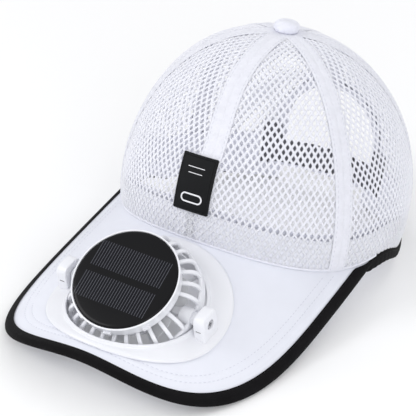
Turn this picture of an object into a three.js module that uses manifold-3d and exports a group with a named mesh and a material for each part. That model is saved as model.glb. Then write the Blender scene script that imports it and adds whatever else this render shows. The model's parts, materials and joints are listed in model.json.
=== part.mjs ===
// A six-panel net cap with a solar fan set into its peak.
// Millimetres, +Z up. The wearer faces -Y and the wearer's left is +X.
// The cap lies at rest on its drooping peak and on the back of its hem.
// Everything is shaped in the frame of the cap as it is worn, then tipped back into the lying pose.

import * as THREE from 'three';
import { mergeVertices } from 'three/addons/utils/BufferGeometryUtils.js';
import Module from 'manifold-3d';

const wasm = await Module();
wasm.setup();

// Fits
const touchGap = 0.3;          // left between pieces that touch
const plyGap = 0.6;            // left between sewn layers, whose facets differ a little
const runGap = 0.4;            // round a shaft or a screw that turns

// Crown, measured on its outer face
const crownHalfWidth = 92.5;
const crownHalfLength = 92;
const crownHeight = 128;
const apexSetBack = 1.1;
const frontRise = 12.8;        // the hem climbs this much over the forehead
const panelCloth = 1.2;
const seamGap = 0.3;
const crownTipRadius = 3.2;    // the panels stop here, under the button
const panelSpan = 60;          // six panels go round
const panelColumns = 8;
const rowShares = [0, 0.13, 0.27, 0.41, 0.55, 0.69, 0.82, 0.93, 1];
const fullness = { side: 0.108, front: -0.028 };
const roundness = { side: 0.807, front: -0.037 };
const steepness = { side: 1.213, front: 0.102 };
const fadeEndAngle = 105;      // behind this angle the hem is level

// Seams, bands and edges of the crown
const tapeWidth = 13;
const tapeCloth = 0.7;
const facingHeight = 26;
const facingCloth = 0.6;
const sweatHeight = 24;
const sweatCloth = 1.1;
const hemBindingHeight = 6.5;
const hemBindingThick = 3.2;
const hemBindingRound = 1.2;
const hemBindingStart = 1.2;   // degrees behind the peak's end
const buttonRadius = 8.6;
const buttonHeight = 6.6;
const buttonRim = 0.9;
const buttonInset = 0.6;
const buttonFullness = 0.8;
const buttonSides = 16;

// Opening at the back and its strap
const archHalfWidth = 34;
const archHeight = 70;
const archBindingWidth = 5.5;
const archBindingCloth = 0.7;
const strapRise = 4.5;
const strapHeight = 18;
const strapCloth = 1;
const strapOverlap = 22;       // each strap runs this far past the middle
const strapTuck = 15;          // and this far behind the panel's edge

// Peak
const peakHalfWidth = 91.7;
const peakReach = 111.2;       // forward of the crown
const peakBoard = 2.4;
const peakSlope = 0.363;       // drop for each millimetre forward
const peakSideDrop = 34.9;     // drop at the widest point
const peakLift = 2.13;         // the front edge curls up this much
const peakShoulder = 75;       // the sides turn in towards the crown behind this
const peakSquareness = 2.96;
const peakEndAngle = 78;       // where the peak's ends meet the hem
const peakEndOut = 0.5;
const peakTuck = 2;            // the board runs this far under the crown's wall
const bindingWidth = 3.4;
const bindingCloth = 0.7;
const edgeStations = 36;

// Fan seat in the peak
const pivotForward = 148.5;    // in front of the head's middle line
const pivotHeight = -6;
const headSlope = 41;          // degrees forward from level
const collarInner = 42.4;
const collarWall = 1.6;
const collarHeight = 3.4;
const flangeThick = 1.8;
const sleeveDepth = 6.4;
const flangeHalfWidth = 57;
const flangeFront = 48;        // flange ahead of the pivot
const flangeBack = 57;
const flangeEdge = 1.2;
const flangeRound = 2.15;
const retainerWidth = 4.2;
const retainerThick = 1.5;
const fanStations = 28;

// Pivots
const blockThick = 7.4;
const blockRadius = 7.8;
const bossRadius = 4;
const bossStart = 34.6;
const bossEnd = 44.9;
const screwHeadRadius = 2.8;
const screwHeadThick = 1.6;
const screwRadius = 1.5;
const screwRecess = 0.5;
const screwReach = 5.5;        // into the boss
const slotDepth = 0.7;
const slotWidth = 0.8;
const slotLength = 3.1;

// Fan head, measured up its own axis from the pivot
const cageRadius = 41.4;
const cageRing = 2.2;
const cageRingLow = -4.6;
const cageRingHigh = 1.6;
const cageTopRadius = 31.2;
const cageTopLow = 11;
const cageTopHigh = 13;
const ribCount = 28;
const ribWidth = 1.7;
const ribDepth = 1.9;
const ribBowIn = 1.2;          // the ribs bow out to this far inside the ring
const ribBowDown = 2.5;        // and this far under the top ring
const frameRadius = 33;
const frameFoot = 30.6;
const frameWall = 1.3;
const frameTop = 20.8;
const frameFloor = 18.9;
const frameBevel = 0.6;
const discRadius = 31.6;
const discTop = 21.2;
const discRim = [[0, 0.9], [0.8, 0.2], [2, 0]];   // in from the edge, and down from the top
const motorRadius = 10;
const motorLength = 10;
const motorRound = 1;
const motorSides = 18;
const hubRadius = 9;
const hubHigh = 6.8;
const hubLow = -2;
const hubRound = 1.5;
const hubSides = 14;
const bladeCount = 7;
const bladeRadius = 33;
const bladeThick = 1.3;
const bladeSweep = 34;         // degrees round the hub
const bladeTwist = 10;
const bladeInset = 0.6;        // kept clear at the hub's ends
const guardThick = 1.8;
const guardSpokes = 8;
const guardSpokeWidth = 1.6;
const guardRing = 23;
const guardHub = 7;

// Label on the front seam
const labelWidth = 24.6;
const labelHeight = 35;
const labelThick = 1.4;
const labelAngle = -1;
const labelMiddle = 49.5;      // height above the hem plane
const labelLean = 0.93;        // rise for each millimetre up the label
const capsuleLength = 14.8;
const capsuleWidth = 6;
const capsuleLine = 0.9;
const capsuleThick = 0.5;
const capsuleDown = 8.9;       // below the label's middle

const rad = THREE.MathUtils.degToRad;
const V = (x, y, z) => new THREE.Vector3(x, y, z);

// Materials
function plastic(color, roughness) {
  return new THREE.MeshStandardMaterial({ color, roughness, metalness: 0 });
}

const netCloth = () => plastic(0xebecf4, 0.9);
const whiteCloth = () => plastic(0xe8e8f0, 0.9);
const blackCloth = () => plastic(0x141315, 0.85);
const whitePlastic = () => plastic(0xf1f1f4, 0.35);
const greyPlastic = () => plastic(0xb0b0b2, 0.4);
const blackRubber = () => plastic(0x313235, 0.6);
const darkGlass = () => plastic(0x1c1c1f, 0.12);
const steel = () => new THREE.MeshStandardMaterial({ color: 0xb9b9ba, roughness: 0.3, metalness: 1 });

// Solids

function signedVolume(points, faces) {
  let sum = 0;
  for (let i = 0; i < faces.length; i += 3) {
    const [a, b, c] = [points[faces[i]], points[faces[i + 1]], points[faces[i + 2]]];
    sum += a.dot(b.clone().cross(c));
  }
  return sum / 6;
}

function closedGeometry(points, faces) {
  if (signedVolume(points, faces) < 0) {
    faces.reverse();
  }
  const geometry = new THREE.BufferGeometry();
  geometry.setFromPoints(points);
  geometry.setIndex(faces);
  return geometry;
}

// Joins a row of cross-sections into one closed solid.
// Each section has an outer path a and an inner path b with as many points. A loop has no ends to cap.
function loft(sections, loop = false) {
  const n = sections[0].a.length;
  const points = sections.flatMap(({ a, b }) => [...a, ...b]);
  const faces = [];
  const at = (s, side, k) => (s % sections.length) * 2 * n + side * n + k;
  const quad = (p, q, r, s) => faces.push(p, q, r, p, r, s);
  const spans = loop ? sections.length : sections.length - 1;
  for (let s = 0; s < spans; s++) {
    for (let k = 0; k < n - 1; k++) {
      quad(at(s, 0, k), at(s + 1, 0, k), at(s + 1, 0, k + 1), at(s, 0, k + 1));
      quad(at(s, 1, k), at(s, 1, k + 1), at(s + 1, 1, k + 1), at(s + 1, 1, k));
    }
    quad(at(s, 0, 0), at(s, 1, 0), at(s + 1, 1, 0), at(s + 1, 0, 0));
    quad(at(s, 0, n - 1), at(s + 1, 0, n - 1), at(s + 1, 1, n - 1), at(s, 1, n - 1));
  }
  if (!loop) {
    const end = sections.length - 1;
    for (let k = 0; k < n - 1; k++) {
      quad(at(0, 0, k), at(0, 0, k + 1), at(0, 1, k + 1), at(0, 1, k));
      quad(at(end, 0, k), at(end, 1, k), at(end, 1, k + 1), at(end, 0, k + 1));
    }
  }
  return closedGeometry(points, faces);
}

function steps(count, from, to) {
  return Array.from({ length: count + 1 }, (_, i) => from + (to - from) * i / count);
}

function solidOf(geometry) {
  const clean = geometry.clone();
  clean.deleteAttribute('normal');
  clean.deleteAttribute('uv');
  const merged = mergeVertices(clean, 1e-5);
  return new wasm.Manifold(new wasm.Mesh({
    numProp: 3,
    vertProperties: new Float32Array(merged.attributes.position.array),
    triVerts: new Uint32Array(merged.index.array),
  }));
}

function geometryOf(solid) {
  const mesh = solid.getMesh();
  const geometry = new THREE.BufferGeometry();
  geometry.setAttribute('position', new THREE.BufferAttribute(mesh.vertProperties, 3));
  geometry.setIndex(new THREE.BufferAttribute(mesh.triVerts, 1));
  return geometry;
}

function join(...geometries) {
  return geometryOf(geometries.map(solidOf).reduce((a, b) => a.add(b)));
}

function cut(geometry, ...tools) {
  return geometryOf(tools.map(solidOf).reduce((a, b) => a.subtract(b), solidOf(geometry)));
}

function turned(profile, sides) {
  const points = profile.map(([r, z]) => new THREE.Vector2(r, z));
  return new THREE.LatheGeometry(points, sides).rotateX(Math.PI / 2);
}

// A round bar along X, from one x to another
function barAlongX(radius, from, to, sides = 16) {
  const bar = new THREE.CylinderGeometry(radius, radius, Math.abs(to - from), sides);
  return bar.rotateZ(Math.PI / 2).translate((from + to) / 2, 0, 0);
}

// Surfaces of the cap, in the frame of the cap as it is worn.
// Angles run round the head in degrees: 0 at the front, 90 over the wearer's left ear.

function peakTop(x, y) {
  const forward = Math.min(0, y + crownHalfLength);
  const lift = peakLift * (forward / peakReach) ** 2;
  const arch = peakSideDrop * (x / peakHalfWidth) ** 2;
  return frontRise + peakSlope * (y + crownHalfLength) - arch + lift;
}

function hemFade(angle) {
  const turn = Math.abs(THREE.MathUtils.euclideanModulo(angle + 180, 360) - 180);
  return 1 - THREE.MathUtils.smoothstep(turn, peakEndAngle, fadeEndAngle);
}

// The hem lies on the peak in front, and fades to level behind
function hemHeight(angle) {
  const [s, c] = [Math.sin(rad(angle)), Math.cos(rad(angle))];
  return hemFade(angle) * peakTop(crownHalfWidth * s, -crownHalfLength * c);
}

// A point on the crown's outer face. Climb runs from 0 at the hem to 90 at the apex.
function crownFace(angle, climb) {
  const [s, c] = [Math.sin(rad(angle)), Math.cos(rad(angle))];
  const up = Math.sin(rad(climb));
  const over = Math.cos(rad(climb));
  const narrowing = Math.max(0, over) ** (roundness.side + roundness.front * c);
  const swell = 1 + (fullness.side + fullness.front * c) * Math.sin(2 * rad(climb));
  const rise = Math.max(0, up) ** (steepness.side + steepness.front * c);
  const hem = hemHeight(angle);
  const reach = narrowing * swell;
  return V(
    crownHalfWidth * s * reach,
    apexSetBack * (1 - narrowing) - crownHalfLength * c * reach,
    hem + (crownHeight - hem) * rise,
  );
}

const slopeStep = 2;           // degrees either side, where the face's slope is read

// The same point, moved into the cap by a depth
function crownPoint(angle, climb, depth) {
  const low = Math.max(climb - slopeStep, 0);
  const high = Math.min(climb + slopeStep, 90);
  const along = crownFace(angle, high).sub(crownFace(angle, low));
  const round = crownFace(angle + slopeStep, climb).sub(crownFace(angle - slopeStep, climb));
  const outward = round.cross(along).normalize();
  return crownFace(angle, climb).addScaledVector(outward, -depth);
}

// The foot of a layer at a depth, a little above what the hem lies on
function hemPoint(angle, depth, above = touchGap) {
  const point = crownPoint(angle, 0, depth);
  return point.setZ(hemFade(angle) * peakTop(point.x, point.y) + above);
}

function layerPoint(angle, climb, depth) {
  return climb === 0 ? hemPoint(angle, depth) : crownPoint(angle, climb, depth);
}

function crownRadius(angle, climb) {
  const p = crownFace(angle, climb);
  return Math.hypot(p.x, p.y - apexSetBack);
}

// The climb at which the crown has a given height, or a given radius
function climbWhere(test) {
  let [low, high] = [0, 90];
  for (let i = 0; i < 30; i++) {
    const middle = (low + high) / 2;
    if (test(middle)) {
      low = middle;
    } else {
      high = middle;
    }
  }
  return (low + high) / 2;
}

const climbAtHeight = (angle, z) => climbWhere((climb) => crownFace(angle, climb).z < z);
const climbAtRadius = (angle, radius) => climbWhere((climb) => crownRadius(angle, climb) > radius);
const climbAboveHem = (angle, height) => climbAtHeight(angle, hemHeight(angle) + height);
const crownTipClimb = climbAtRadius(90, crownTipRadius);
const rowClimbs = rowShares.map((share) => share * crownTipClimb);

// The angle and climb behind which a point of given x and height lies on the back of the crown
function backPoint(x, z) {
  let angle = 180;
  let climb = 0;
  for (let i = 0; i < 12; i++) {
    climb = climbAtHeight(angle, z);
    angle = 180 - THREE.MathUtils.radToDeg(Math.asin(x / crownRadius(angle, climb)));
  }
  return [angle, climb];
}

// Depths of the sewn layers, from the outer face in
const tapeDepth = panelCloth + plyGap;
const facingDepth = tapeDepth + tapeCloth + plyGap;
const sweatDepth = facingDepth + facingCloth + plyGap;
const archAngle = THREE.MathUtils.radToDeg(Math.asin(archHalfWidth / crownHalfWidth));
const tuckAngle = THREE.MathUtils.radToDeg(strapTuck / crownHalfWidth);
const bandEndAngle = 180 - archAngle - tuckAngle - 1;
const column = panelSpan / panelColumns;
const bandTurn = Math.floor(bandEndAngle / column) * column;

// A band of cloth that follows the crown between two heights above the hem
function crownBand(angles, [from, to], depth, cloth) {
  return loft(angles.map((angle) => {
    const climbs = [from, to].map((height) => (height > 0 ? climbAboveHem(angle, height) : 0));
    return {
      a: climbs.map((climb) => layerPoint(angle, climb, depth)),
      b: climbs.map((climb) => layerPoint(angle, climb, depth + cloth)),
    };
  }));
}

function crownPanel(startAngle) {
  return loft(steps(panelColumns, 0, 1).map((share) => {
    const place = (climb, depth) => {
      const edge = THREE.MathUtils.radToDeg(seamGap / 2 / crownRadius(startAngle, climb));
      return layerPoint(startAngle + edge + (panelSpan - 2 * edge) * share, climb, depth);
    };
    return {
      a: rowClimbs.map((climb) => place(climb, 0)),
      b: rowClimbs.map((climb) => place(climb, panelCloth)),
    };
  }));
}

const archBow = steps(10, 0, 180).slice(1, -1);
const springing = archHeight - archHalfWidth;
const toolClear = 20;

function archTool() {
  const shape = new THREE.Shape();
  shape.moveTo(archHalfWidth, -hemBindingHeight * 2);
  shape.lineTo(archHalfWidth, springing);
  archBow.forEach((turn) => {
    const [c, s] = [Math.cos(rad(turn)), Math.sin(rad(turn))];
    shape.lineTo(archHalfWidth * c, springing + archHalfWidth * s);
  });
  shape.lineTo(-archHalfWidth, springing);
  shape.lineTo(-archHalfWidth, -hemBindingHeight * 2);
  shape.closePath();
  const depth = crownHalfLength * 2;
  const tool = new THREE.ExtrudeGeometry(shape, { depth, bevelEnabled: false });
  return tool.rotateX(Math.PI / 2).translate(0, depth + toolClear, 0);
}

// Tape sewn behind a seam, from a height up to the row below the button
function seamTape(angle, fromHeight) {
  const climbs = rowClimbs.slice(0, -1).filter((climb) => crownFace(angle, climb).z >= fromHeight);
  return loft(steps(2, -1, 1).map((side) => {
    const place = (climb, depth) => {
      const turn = THREE.MathUtils.radToDeg(side * tapeWidth / 2 / crownRadius(angle, climb));
      return layerPoint(angle + turn, climb, depth);
    };
    return {
      a: climbs.map((climb) => place(climb, tapeDepth)),
      b: climbs.map((climb) => place(climb, tapeDepth + tapeCloth)),
    };
  }));
}

// Binding that hangs below the hem from the peak's end to the opening at the back
function hemBinding(side) {
  const round = hemBindingRound;
  const from = peakEndAngle + hemBindingStart;
  const to = 180 - archAngle;
  const between = steps(180 / column, 0, 180).filter((turn) => turn > from + 1 && turn < to - 1);
  return loft([from, ...between, to].map((turn) => {
    const angle = side * turn;
    const place = (depth, drop) => hemPoint(angle, depth, -drop);
    const outer = -touchGap;
    const inner = outer + hemBindingThick;
    return {
      a: [place(outer, 0), place(outer, hemBindingHeight - round), place(outer + round, hemBindingHeight)],
      b: [place(inner, 0), place(inner, hemBindingHeight - round), place(inner - round, hemBindingHeight)],
    };
  }));
}

// Binding folded round the edge of the arch at the back
function archBinding() {
  const legs = steps(4, touchGap * 3, springing);
  const path = [
    ...legs.map((z) => [1, 0, z]),
    ...archBow.map((turn) => [Math.cos(rad(turn)), Math.sin(rad(turn)), springing]),
    ...legs.reverse().map((z) => [-1, 0, z]),
  ];
  return loft(path.map(([c, s, z]) => {
    const place = (across, depth) => {
      const reach = archHalfWidth + across;
      const [angle, climb] = backPoint(c * reach, z + s * reach);
      return crownPoint(angle, climb, depth);
    };
    const outer = -touchGap;
    const inner = panelCloth + plyGap * 2;
    const edge = -plyGap;
    const cloth = archBindingCloth;
    return {
      a: [
        place(archBindingWidth, outer - cloth),
        place(edge - cloth, outer - cloth),
        place(edge - cloth, inner + cloth),
        place(archBindingWidth, inner + cloth),
      ],
      b: [
        place(archBindingWidth, outer),
        place(edge, outer),
        place(edge, inner),
        place(archBindingWidth, inner),
      ],
    };
  }));
}

function strap(side, depth) {
  const past = THREE.MathUtils.radToDeg(strapOverlap / crownHalfWidth);
  const end = archAngle + tuckAngle;
  const angles = steps(9, 180 - side * end, 180 + side * past);
  return crownBand(angles, [strapRise, strapRise + strapHeight], depth, strapCloth);
}

function topButton() {
  const base = crownHeight + touchGap;
  const profile = [[0, base], [buttonRadius - buttonInset, base], [buttonRadius, base + buttonRim]];
  steps(4, 18, 90).forEach((turn) => {
    const r = turn === 90 ? 0 : buttonRadius * Math.cos(rad(turn)) ** buttonFullness;
    profile.push([r, base + buttonRim + (buttonHeight - buttonRim) * Math.sin(rad(turn))]);
  });
  return turned(profile, buttonSides).translate(0, apexSetBack, 0);
}

// Peak

const peakEnd = {
  x: crownHalfWidth * Math.sin(rad(peakEndAngle)) + peakEndOut,
  y: -crownHalfLength * Math.cos(rad(peakEndAngle)),
};

// The peak's edge on the wearer's left, from the middle of the front to the peak's end
function peakEdgeHalf(count) {
  const front = -crownHalfLength - peakReach;
  const power = 2 / peakSquareness;
  const nose = steps(count, 0, 90).map((turn) => new THREE.Vector2(
    peakHalfWidth * Math.sin(rad(turn)) ** power,
    -peakShoulder + (front + peakShoulder) * Math.abs(Math.cos(rad(turn))) ** power,
  ));
  const shoulder = new THREE.QuadraticBezierCurve(
    new THREE.Vector2(peakHalfWidth, -peakShoulder),
    new THREE.Vector2(peakHalfWidth, (peakEnd.y - peakShoulder) / 2),
    new THREE.Vector2(peakEnd.x, peakEnd.y),
  );
  return [...nose, ...shoulder.getPoints(8).slice(1)];
}

// The whole edge, evenly spaced from the wearer's right end to the left one
function peakEdge(count) {
  const half = peakEdgeHalf(40);
  const mirrored = half.slice(1).reverse().map((p) => new THREE.Vector2(-p.x, p.y));
  const lengths = [0];
  const all = [...mirrored, ...half];
  for (let i = 1; i < all.length; i++) {
    lengths.push(lengths[i - 1] + all[i].distanceTo(all[i - 1]));
  }
  return steps(count, 0, lengths.at(-1)).map((goal) => {
    const i = Math.max(1, lengths.findIndex((length) => length >= goal - 1e-6));
    const share = (goal - lengths[i - 1]) / (lengths[i] - lengths[i - 1]);
    return all[i - 1].clone().lerp(all[i], share);
  });
}

function peakBoardPiece() {
  const edge = peakEdge(edgeStations);
  const inner = edge.map((_, i) => {
    const angle = rad(peakEndAngle * (2 * i / edgeStations - 1));
    return new THREE.Vector2(
      (crownHalfWidth - peakTuck) * Math.sin(angle),
      -(crownHalfLength - peakTuck) * Math.cos(angle),
    );
  });
  const board = loft(edge.map((p, i) => {
    const across = steps(3, 0, 1).map((share) => p.clone().lerp(inner[i], share));
    return {
      a: across.map((q) => V(q.x, q.y, peakTop(q.x, q.y))),
      b: across.map((q) => V(q.x, q.y, peakTop(q.x, q.y) - peakBoard)),
    };
  }));
  const hole = new THREE.CylinderGeometry(boardHole, boardHole, peakReach, fanStations);
  return cut(board, hole.rotateX(Math.PI / 2 + seatSlope).translate(0, -pivotForward, pivotHeight));
}

// Binding folded round the peak's edge
function peakBinding() {
  const edge = peakEdge(edgeStations);
  const fold = touchGap + bindingCloth;
  const binding = loft(edge.map((p, i) => {
    const before = edge[Math.max(i - 1, 0)];
    const after = edge[Math.min(i + 1, edge.length - 1)];
    const along = after.clone().sub(before).normalize();
    const outward = new THREE.Vector2(along.y, -along.x);
    const place = (out, up) => {
      const q = p.clone().addScaledVector(outward, out);
      return V(q.x, q.y, peakTop(q.x, q.y) + up);
    };
    const under = -peakBoard;
    return {
      a: [
        place(-bindingWidth, fold),
        place(fold, fold),
        place(fold, under - fold),
        place(-bindingWidth, under - fold),
      ],
      b: [
        place(-bindingWidth, touchGap),
        place(touchGap, touchGap),
        place(touchGap, under - touchGap),
        place(-bindingWidth, under - touchGap),
      ],
    };
  }));
  const crown = new THREE.CylinderGeometry(1, 1, peakReach * 2, 90);
  const clear = plyGap * 2;
  crown.rotateX(Math.PI / 2).scale(crownHalfWidth + clear, crownHalfLength + clear, 1);
  return cut(binding, crown);
}

// Fan seat, in its own frame: the pivot is its origin and its Z axis stands square to the peak

const seatSlope = Math.atan(peakSlope);
const sleeveOuter = collarInner + collarWall;
const boardHole = sleeveOuter + runGap;
const flangeTop = touchGap + flangeThick;
const collarTop = touchGap + collarHeight;

// Height of the peak's upper face in the seat's frame
function seatGround(x, y) {
  const [s, c] = [Math.sin(seatSlope), Math.cos(seatSlope)];
  let z = 0;
  for (let i = 0; i < 6; i++) {
    const top = peakTop(x, y * c - z * s - pivotForward);
    z += (top - pivotHeight - y * s - z * c) * c;
  }
  return z;
}

// The flange's edge: a rounded shape, longer towards the crown
function flangeReach(turn) {
  const [c, s] = [Math.cos(rad(turn)), Math.sin(rad(turn))];
  const depth = s > 0 ? flangeBack : flangeFront;
  const sum = Math.abs(c / flangeHalfWidth) ** flangeRound + Math.abs(s / depth) ** flangeRound;
  return sum ** (-1 / flangeRound);
}

function seatPoint(turn, radius, above) {
  const [x, y] = [radius * Math.cos(rad(turn)), radius * Math.sin(rad(turn))];
  return V(x, y, seatGround(x, y) + above);
}

const roundTheFan = steps(fanStations, 0, 360).slice(0, -1);

function fanFlange() {
  return loft(roundTheFan.map((turn) => {
    const reach = flangeReach(turn);
    const place = (radius, above) => seatPoint(turn, radius, above);
    return {
      a: [
        place(collarInner, -sleeveDepth),
        place(collarInner, collarTop),
        place(sleeveOuter, collarTop),
        place(sleeveOuter + flangeEdge, flangeTop),
        place(reach - flangeEdge, flangeTop),
        place(reach, touchGap + flangeThick / 2),
      ],
      b: [
        place(sleeveOuter, -sleeveDepth),
        place(sleeveOuter, touchGap),
        place(sleeveOuter + touchGap, touchGap),
        place(sleeveOuter + flangeEdge, touchGap),
        place(reach - flangeEdge, touchGap),
        place(reach, touchGap),
      ],
    };
  }), true);
}

function fanRetainer() {
  const high = -peakBoard / Math.cos(seatSlope) - plyGap;
  const wide = boardHole + retainerWidth;
  return loft(roundTheFan.map((turn) => ({
    a: [seatPoint(turn, boardHole, high), seatPoint(turn, wide, high)],
    b: [seatPoint(turn, boardHole, high - retainerThick), seatPoint(turn, wide, high - retainerThick)],
  })), true);
}

const blockInner = bossEnd + plyGap;
const blockOuter = blockInner + blockThick;

// A block that stands on the flange and carries one pivot screw
function pivotBlock(side) {
  const drop = peakSideDrop;
  const shape = new THREE.Shape();
  shape.moveTo(blockRadius, -drop);
  shape.lineTo(blockRadius, 0);
  shape.absarc(0, 0, blockRadius, 0, Math.PI, false);
  shape.lineTo(-blockRadius, -drop);
  shape.closePath();
  const settings = { depth: blockThick, bevelEnabled: false, curveSegments: 8 };
  const body = new THREE.ExtrudeGeometry(shape, settings);
  body.rotateX(Math.PI / 2).rotateZ(Math.PI / 2);
  body.translate(side > 0 ? blockInner : -blockOuter, 0, 0);
  const bore = barAlongX(screwRadius + runGap, side * (blockInner - 1), side * (blockOuter + 1));
  const sink = barAlongX(screwHeadRadius + runGap, side * screwShoulder, side * (blockOuter + 1), 20);
  const ground = loft(steps(4, blockInner - 2, blockOuter + 2).map((x) => {
    const row = steps(4, -blockRadius - 2, blockRadius + 2);
    return {
      a: row.map((y) => V(side * x, y, seatGround(side * x, y) + flangeTop + plyGap)),
      b: row.map((y) => V(side * x, y, -drop * 2)),
    };
  }));
  return cut(body, bore, sink, ground);
}

const screwShoulder = blockOuter - screwRecess - screwHeadThick;

function pivotScrew(side) {
  const under = side * (screwShoulder + touchGap);
  const face = side * (blockOuter - screwRecess);
  const head = barAlongX(screwHeadRadius, under, face, 20);
  const shank = barAlongX(screwRadius, side * (bossEnd - screwReach), under + side * 0.2, 12);
  const slot = new THREE.BoxGeometry(slotDepth, slotLength, slotWidth);
  const cross = new THREE.BoxGeometry(slotDepth, slotWidth, slotLength);
  return cut(join(head, shank), slot.translate(face, 0, 0), cross.translate(face, 0, 0));
}

// Fan head, in its own frame: the pivot is its origin and its axis points out through the solar disc

function ringSolid(outer, inner, low, high, sides = fanStations) {
  return turned([[inner, low], [outer, low], [outer, high], [inner, high], [inner, low]], sides);
}

function cageRib(turn) {
  const foot = new THREE.Vector2(cageRadius - cageRing / 2, cageRingHigh - touchGap);
  const head = new THREE.Vector2(cageTopRadius - ribDepth / 2 - touchGap, cageTopLow + touchGap);
  const bow = new THREE.Vector2(cageRadius - ribBowIn, cageTopLow - ribBowDown);
  const curve = new THREE.QuadraticBezierCurve(foot, bow, head);
  const rib = loft([0, 0.45, 1].map((t) => {
    const p = curve.getPoint(t);
    const along = curve.getTangent(t);
    const out = new THREE.Vector2(along.y, -along.x).multiplyScalar(ribDepth / 2);
    const place = (side, way) => V(p.x + out.x * way, side * ribWidth / 2, p.y + out.y * way);
    return { a: [place(-1, 1), place(1, 1)], b: [place(-1, -1), place(1, -1)] };
  }));
  return rib.rotateZ(rad(turn));
}

function fanCage() {
  const low = ringSolid(cageRadius, cageRadius - cageRing, cageRingLow, cageRingHigh, ribCount);
  const high = ringSolid(cageTopRadius, cageTopRadius - cageRing, cageTopLow, cageTopHigh, ribCount);
  const pitch = 360 / ribCount;
  const turns = steps(ribCount - 1, 0, ribCount - 1).map((i) => i * pitch);
  const clear = (turn) => Math.abs(Math.sin(rad(turn))) * cageRadius > bossRadius + ribWidth / 2;
  const ribs = turns.filter(clear).map(cageRib);
  const bosses = [1, -1].map((side) => barAlongX(bossRadius, side * bossStart, side * bossEnd, 20));
  const bores = [1, -1].map((side) => {
    const deep = bossEnd - screwReach - runGap;
    return barAlongX(screwRadius + runGap, side * deep, side * (bossEnd + 1));
  });
  return cut(join(low, high, ...ribs, ...bosses), ...bores);
}

function panelFrame() {
  const foot = cageTopHigh + touchGap;
  const profile = [
    [0, frameFloor - frameWall],
    [frameFoot - frameWall, frameFloor - frameWall],
    [frameFoot - frameWall, foot],
    [frameFoot, foot],
    [frameRadius, frameTop - frameBevel],
    [frameRadius - frameBevel / 2, frameTop],
    [discRadius + touchGap, frameTop],
    [discRadius + touchGap, frameFloor],
    [0, frameFloor],
  ];
  return turned(profile, fanStations);
}

function solarDisc() {
  const base = frameFloor + touchGap;
  const profile = [
    [0, base],
    [discRadius, base],
    ...discRim.map(([inset, down]) => [discRadius - inset, discTop - down]),
    [0, discTop],
  ];
  return turned(profile, fanStations);
}

function fanMotor() {
  const high = frameFloor - frameWall - touchGap;
  const low = high - motorLength;
  const profile = [
    [0, low],
    [motorRadius - motorRound, low],
    [motorRadius, low + motorRound],
    [motorRadius, high],
    [0, high],
  ];
  return turned(profile, motorSides);
}

function impeller() {
  const low = hubLow;
  const high = Math.min(hubHigh, frameFloor - frameWall - touchGap - motorLength - runGap);
  const profile = [
    [0, low],
    [hubRadius - hubRound, low],
    [hubRadius, low + hubRound],
    [hubRadius, high],
    [0, high],
  ];
  const hub = turned(profile, hubSides);
  const rise = high - low - bladeInset * 2;
  const blades = steps(bladeCount - 1, 0, bladeCount - 1).map((i) => {
    const start = i * 360 / bladeCount;
    return loft([hubRadius - 1, (hubRadius + bladeRadius) / 2, bladeRadius].map((radius) => {
      const place = (share, up) => {
        const turn = rad(start + bladeSweep * share + bladeTwist * (radius - hubRadius) / bladeRadius);
        return V(radius * Math.cos(turn), radius * Math.sin(turn), low + bladeInset + rise * share + up);
      };
      return {
        a: [0, 0.5, 1].map((share) => place(share, bladeThick / 2)),
        b: [0, 0.5, 1].map((share) => place(share, -bladeThick / 2)),
      };
    }));
  });
  return join(hub, ...blades);
}

function lowerGuard() {
  const high = cageRingLow - touchGap;
  const low = high - guardThick;
  const sides = guardSpokes * 2;
  const rim = ringSolid(cageRadius, cageRadius - cageRing, low, high, sides);
  const ring = ringSolid(guardRing, guardRing - guardSpokeWidth, low, high, sides);
  const hub = turned([[0, low], [guardHub, low], [guardHub, high], [0, high]], guardSpokes);
  const spokes = steps(guardSpokes - 1, 0, guardSpokes - 1).map((i) => {
    const length = cageRadius - cageRing / 2 - guardHub / 2;
    const bar = new THREE.BoxGeometry(length, guardSpokeWidth, guardThick - 0.2);
    const turn = rad(i * 360 / guardSpokes);
    return bar.translate((guardHub + length) / 2, 0, (low + high) / 2).rotateZ(turn);
  });
  return join(rim, hub, ring, ...spokes);
}

// Label

// A point on the front of the crown, across and up from the label's middle
function labelPoint(across, up, depth) {
  const climb = climbAtHeight(labelAngle, labelMiddle + up * labelLean);
  const turn = THREE.MathUtils.radToDeg(across / crownRadius(labelAngle, climb));
  return crownPoint(labelAngle + turn, climb, depth);
}

function labelPatch() {
  return loft(steps(4, -labelWidth / 2, labelWidth / 2).map((across) => {
    const ups = steps(4, -labelHeight / 2, labelHeight / 2);
    return {
      a: ups.map((up) => labelPoint(across, up, -touchGap - labelThick)),
      b: ups.map((up) => labelPoint(across, up, -touchGap)),
    };
  }));
}

function labelCapsule() {
  const turns = steps(16, 0, 360).slice(0, -1);
  const back = -touchGap * 2 - labelThick;
  return loft(turns.map((turn) => {
    const [c, s] = [Math.cos(rad(turn)), Math.sin(rad(turn))];
    const shift = Math.sign(Math.round(c * 1e6)) * (capsuleLength - capsuleWidth) / 2;
    const place = (radius, depth) => labelPoint(shift + radius * c, radius * s - capsuleDown, depth);
    const outer = capsuleWidth / 2;
    const inner = outer - capsuleLine;
    return {
      a: [place(outer, back), place(outer, back - capsuleThick)],
      b: [place(inner, back), place(inner, back - capsuleThick)],
    };
  }), true);
}

// Assembly

function piece(name, geometry, material) {
  const mesh = new THREE.Mesh(geometry, material);
  mesh.name = name;
  return mesh;
}

const cap = new THREE.Group();

const panels = [['front_left', 0], ['side_left', 60], ['back_left', 120]];
panels.forEach(([name, start]) => {
  const left = crownPanel(start);
  const right = crownPanel(-start - 60);
  const open = start === 120;
  const names = [`panel_${name}`, `panel_${name.replace('left', 'right')}`];
  [left, right].forEach((panel, i) => {
    cap.add(piece(names[i], open ? cut(panel, archTool()) : panel, netCloth()));
  });
});

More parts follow.
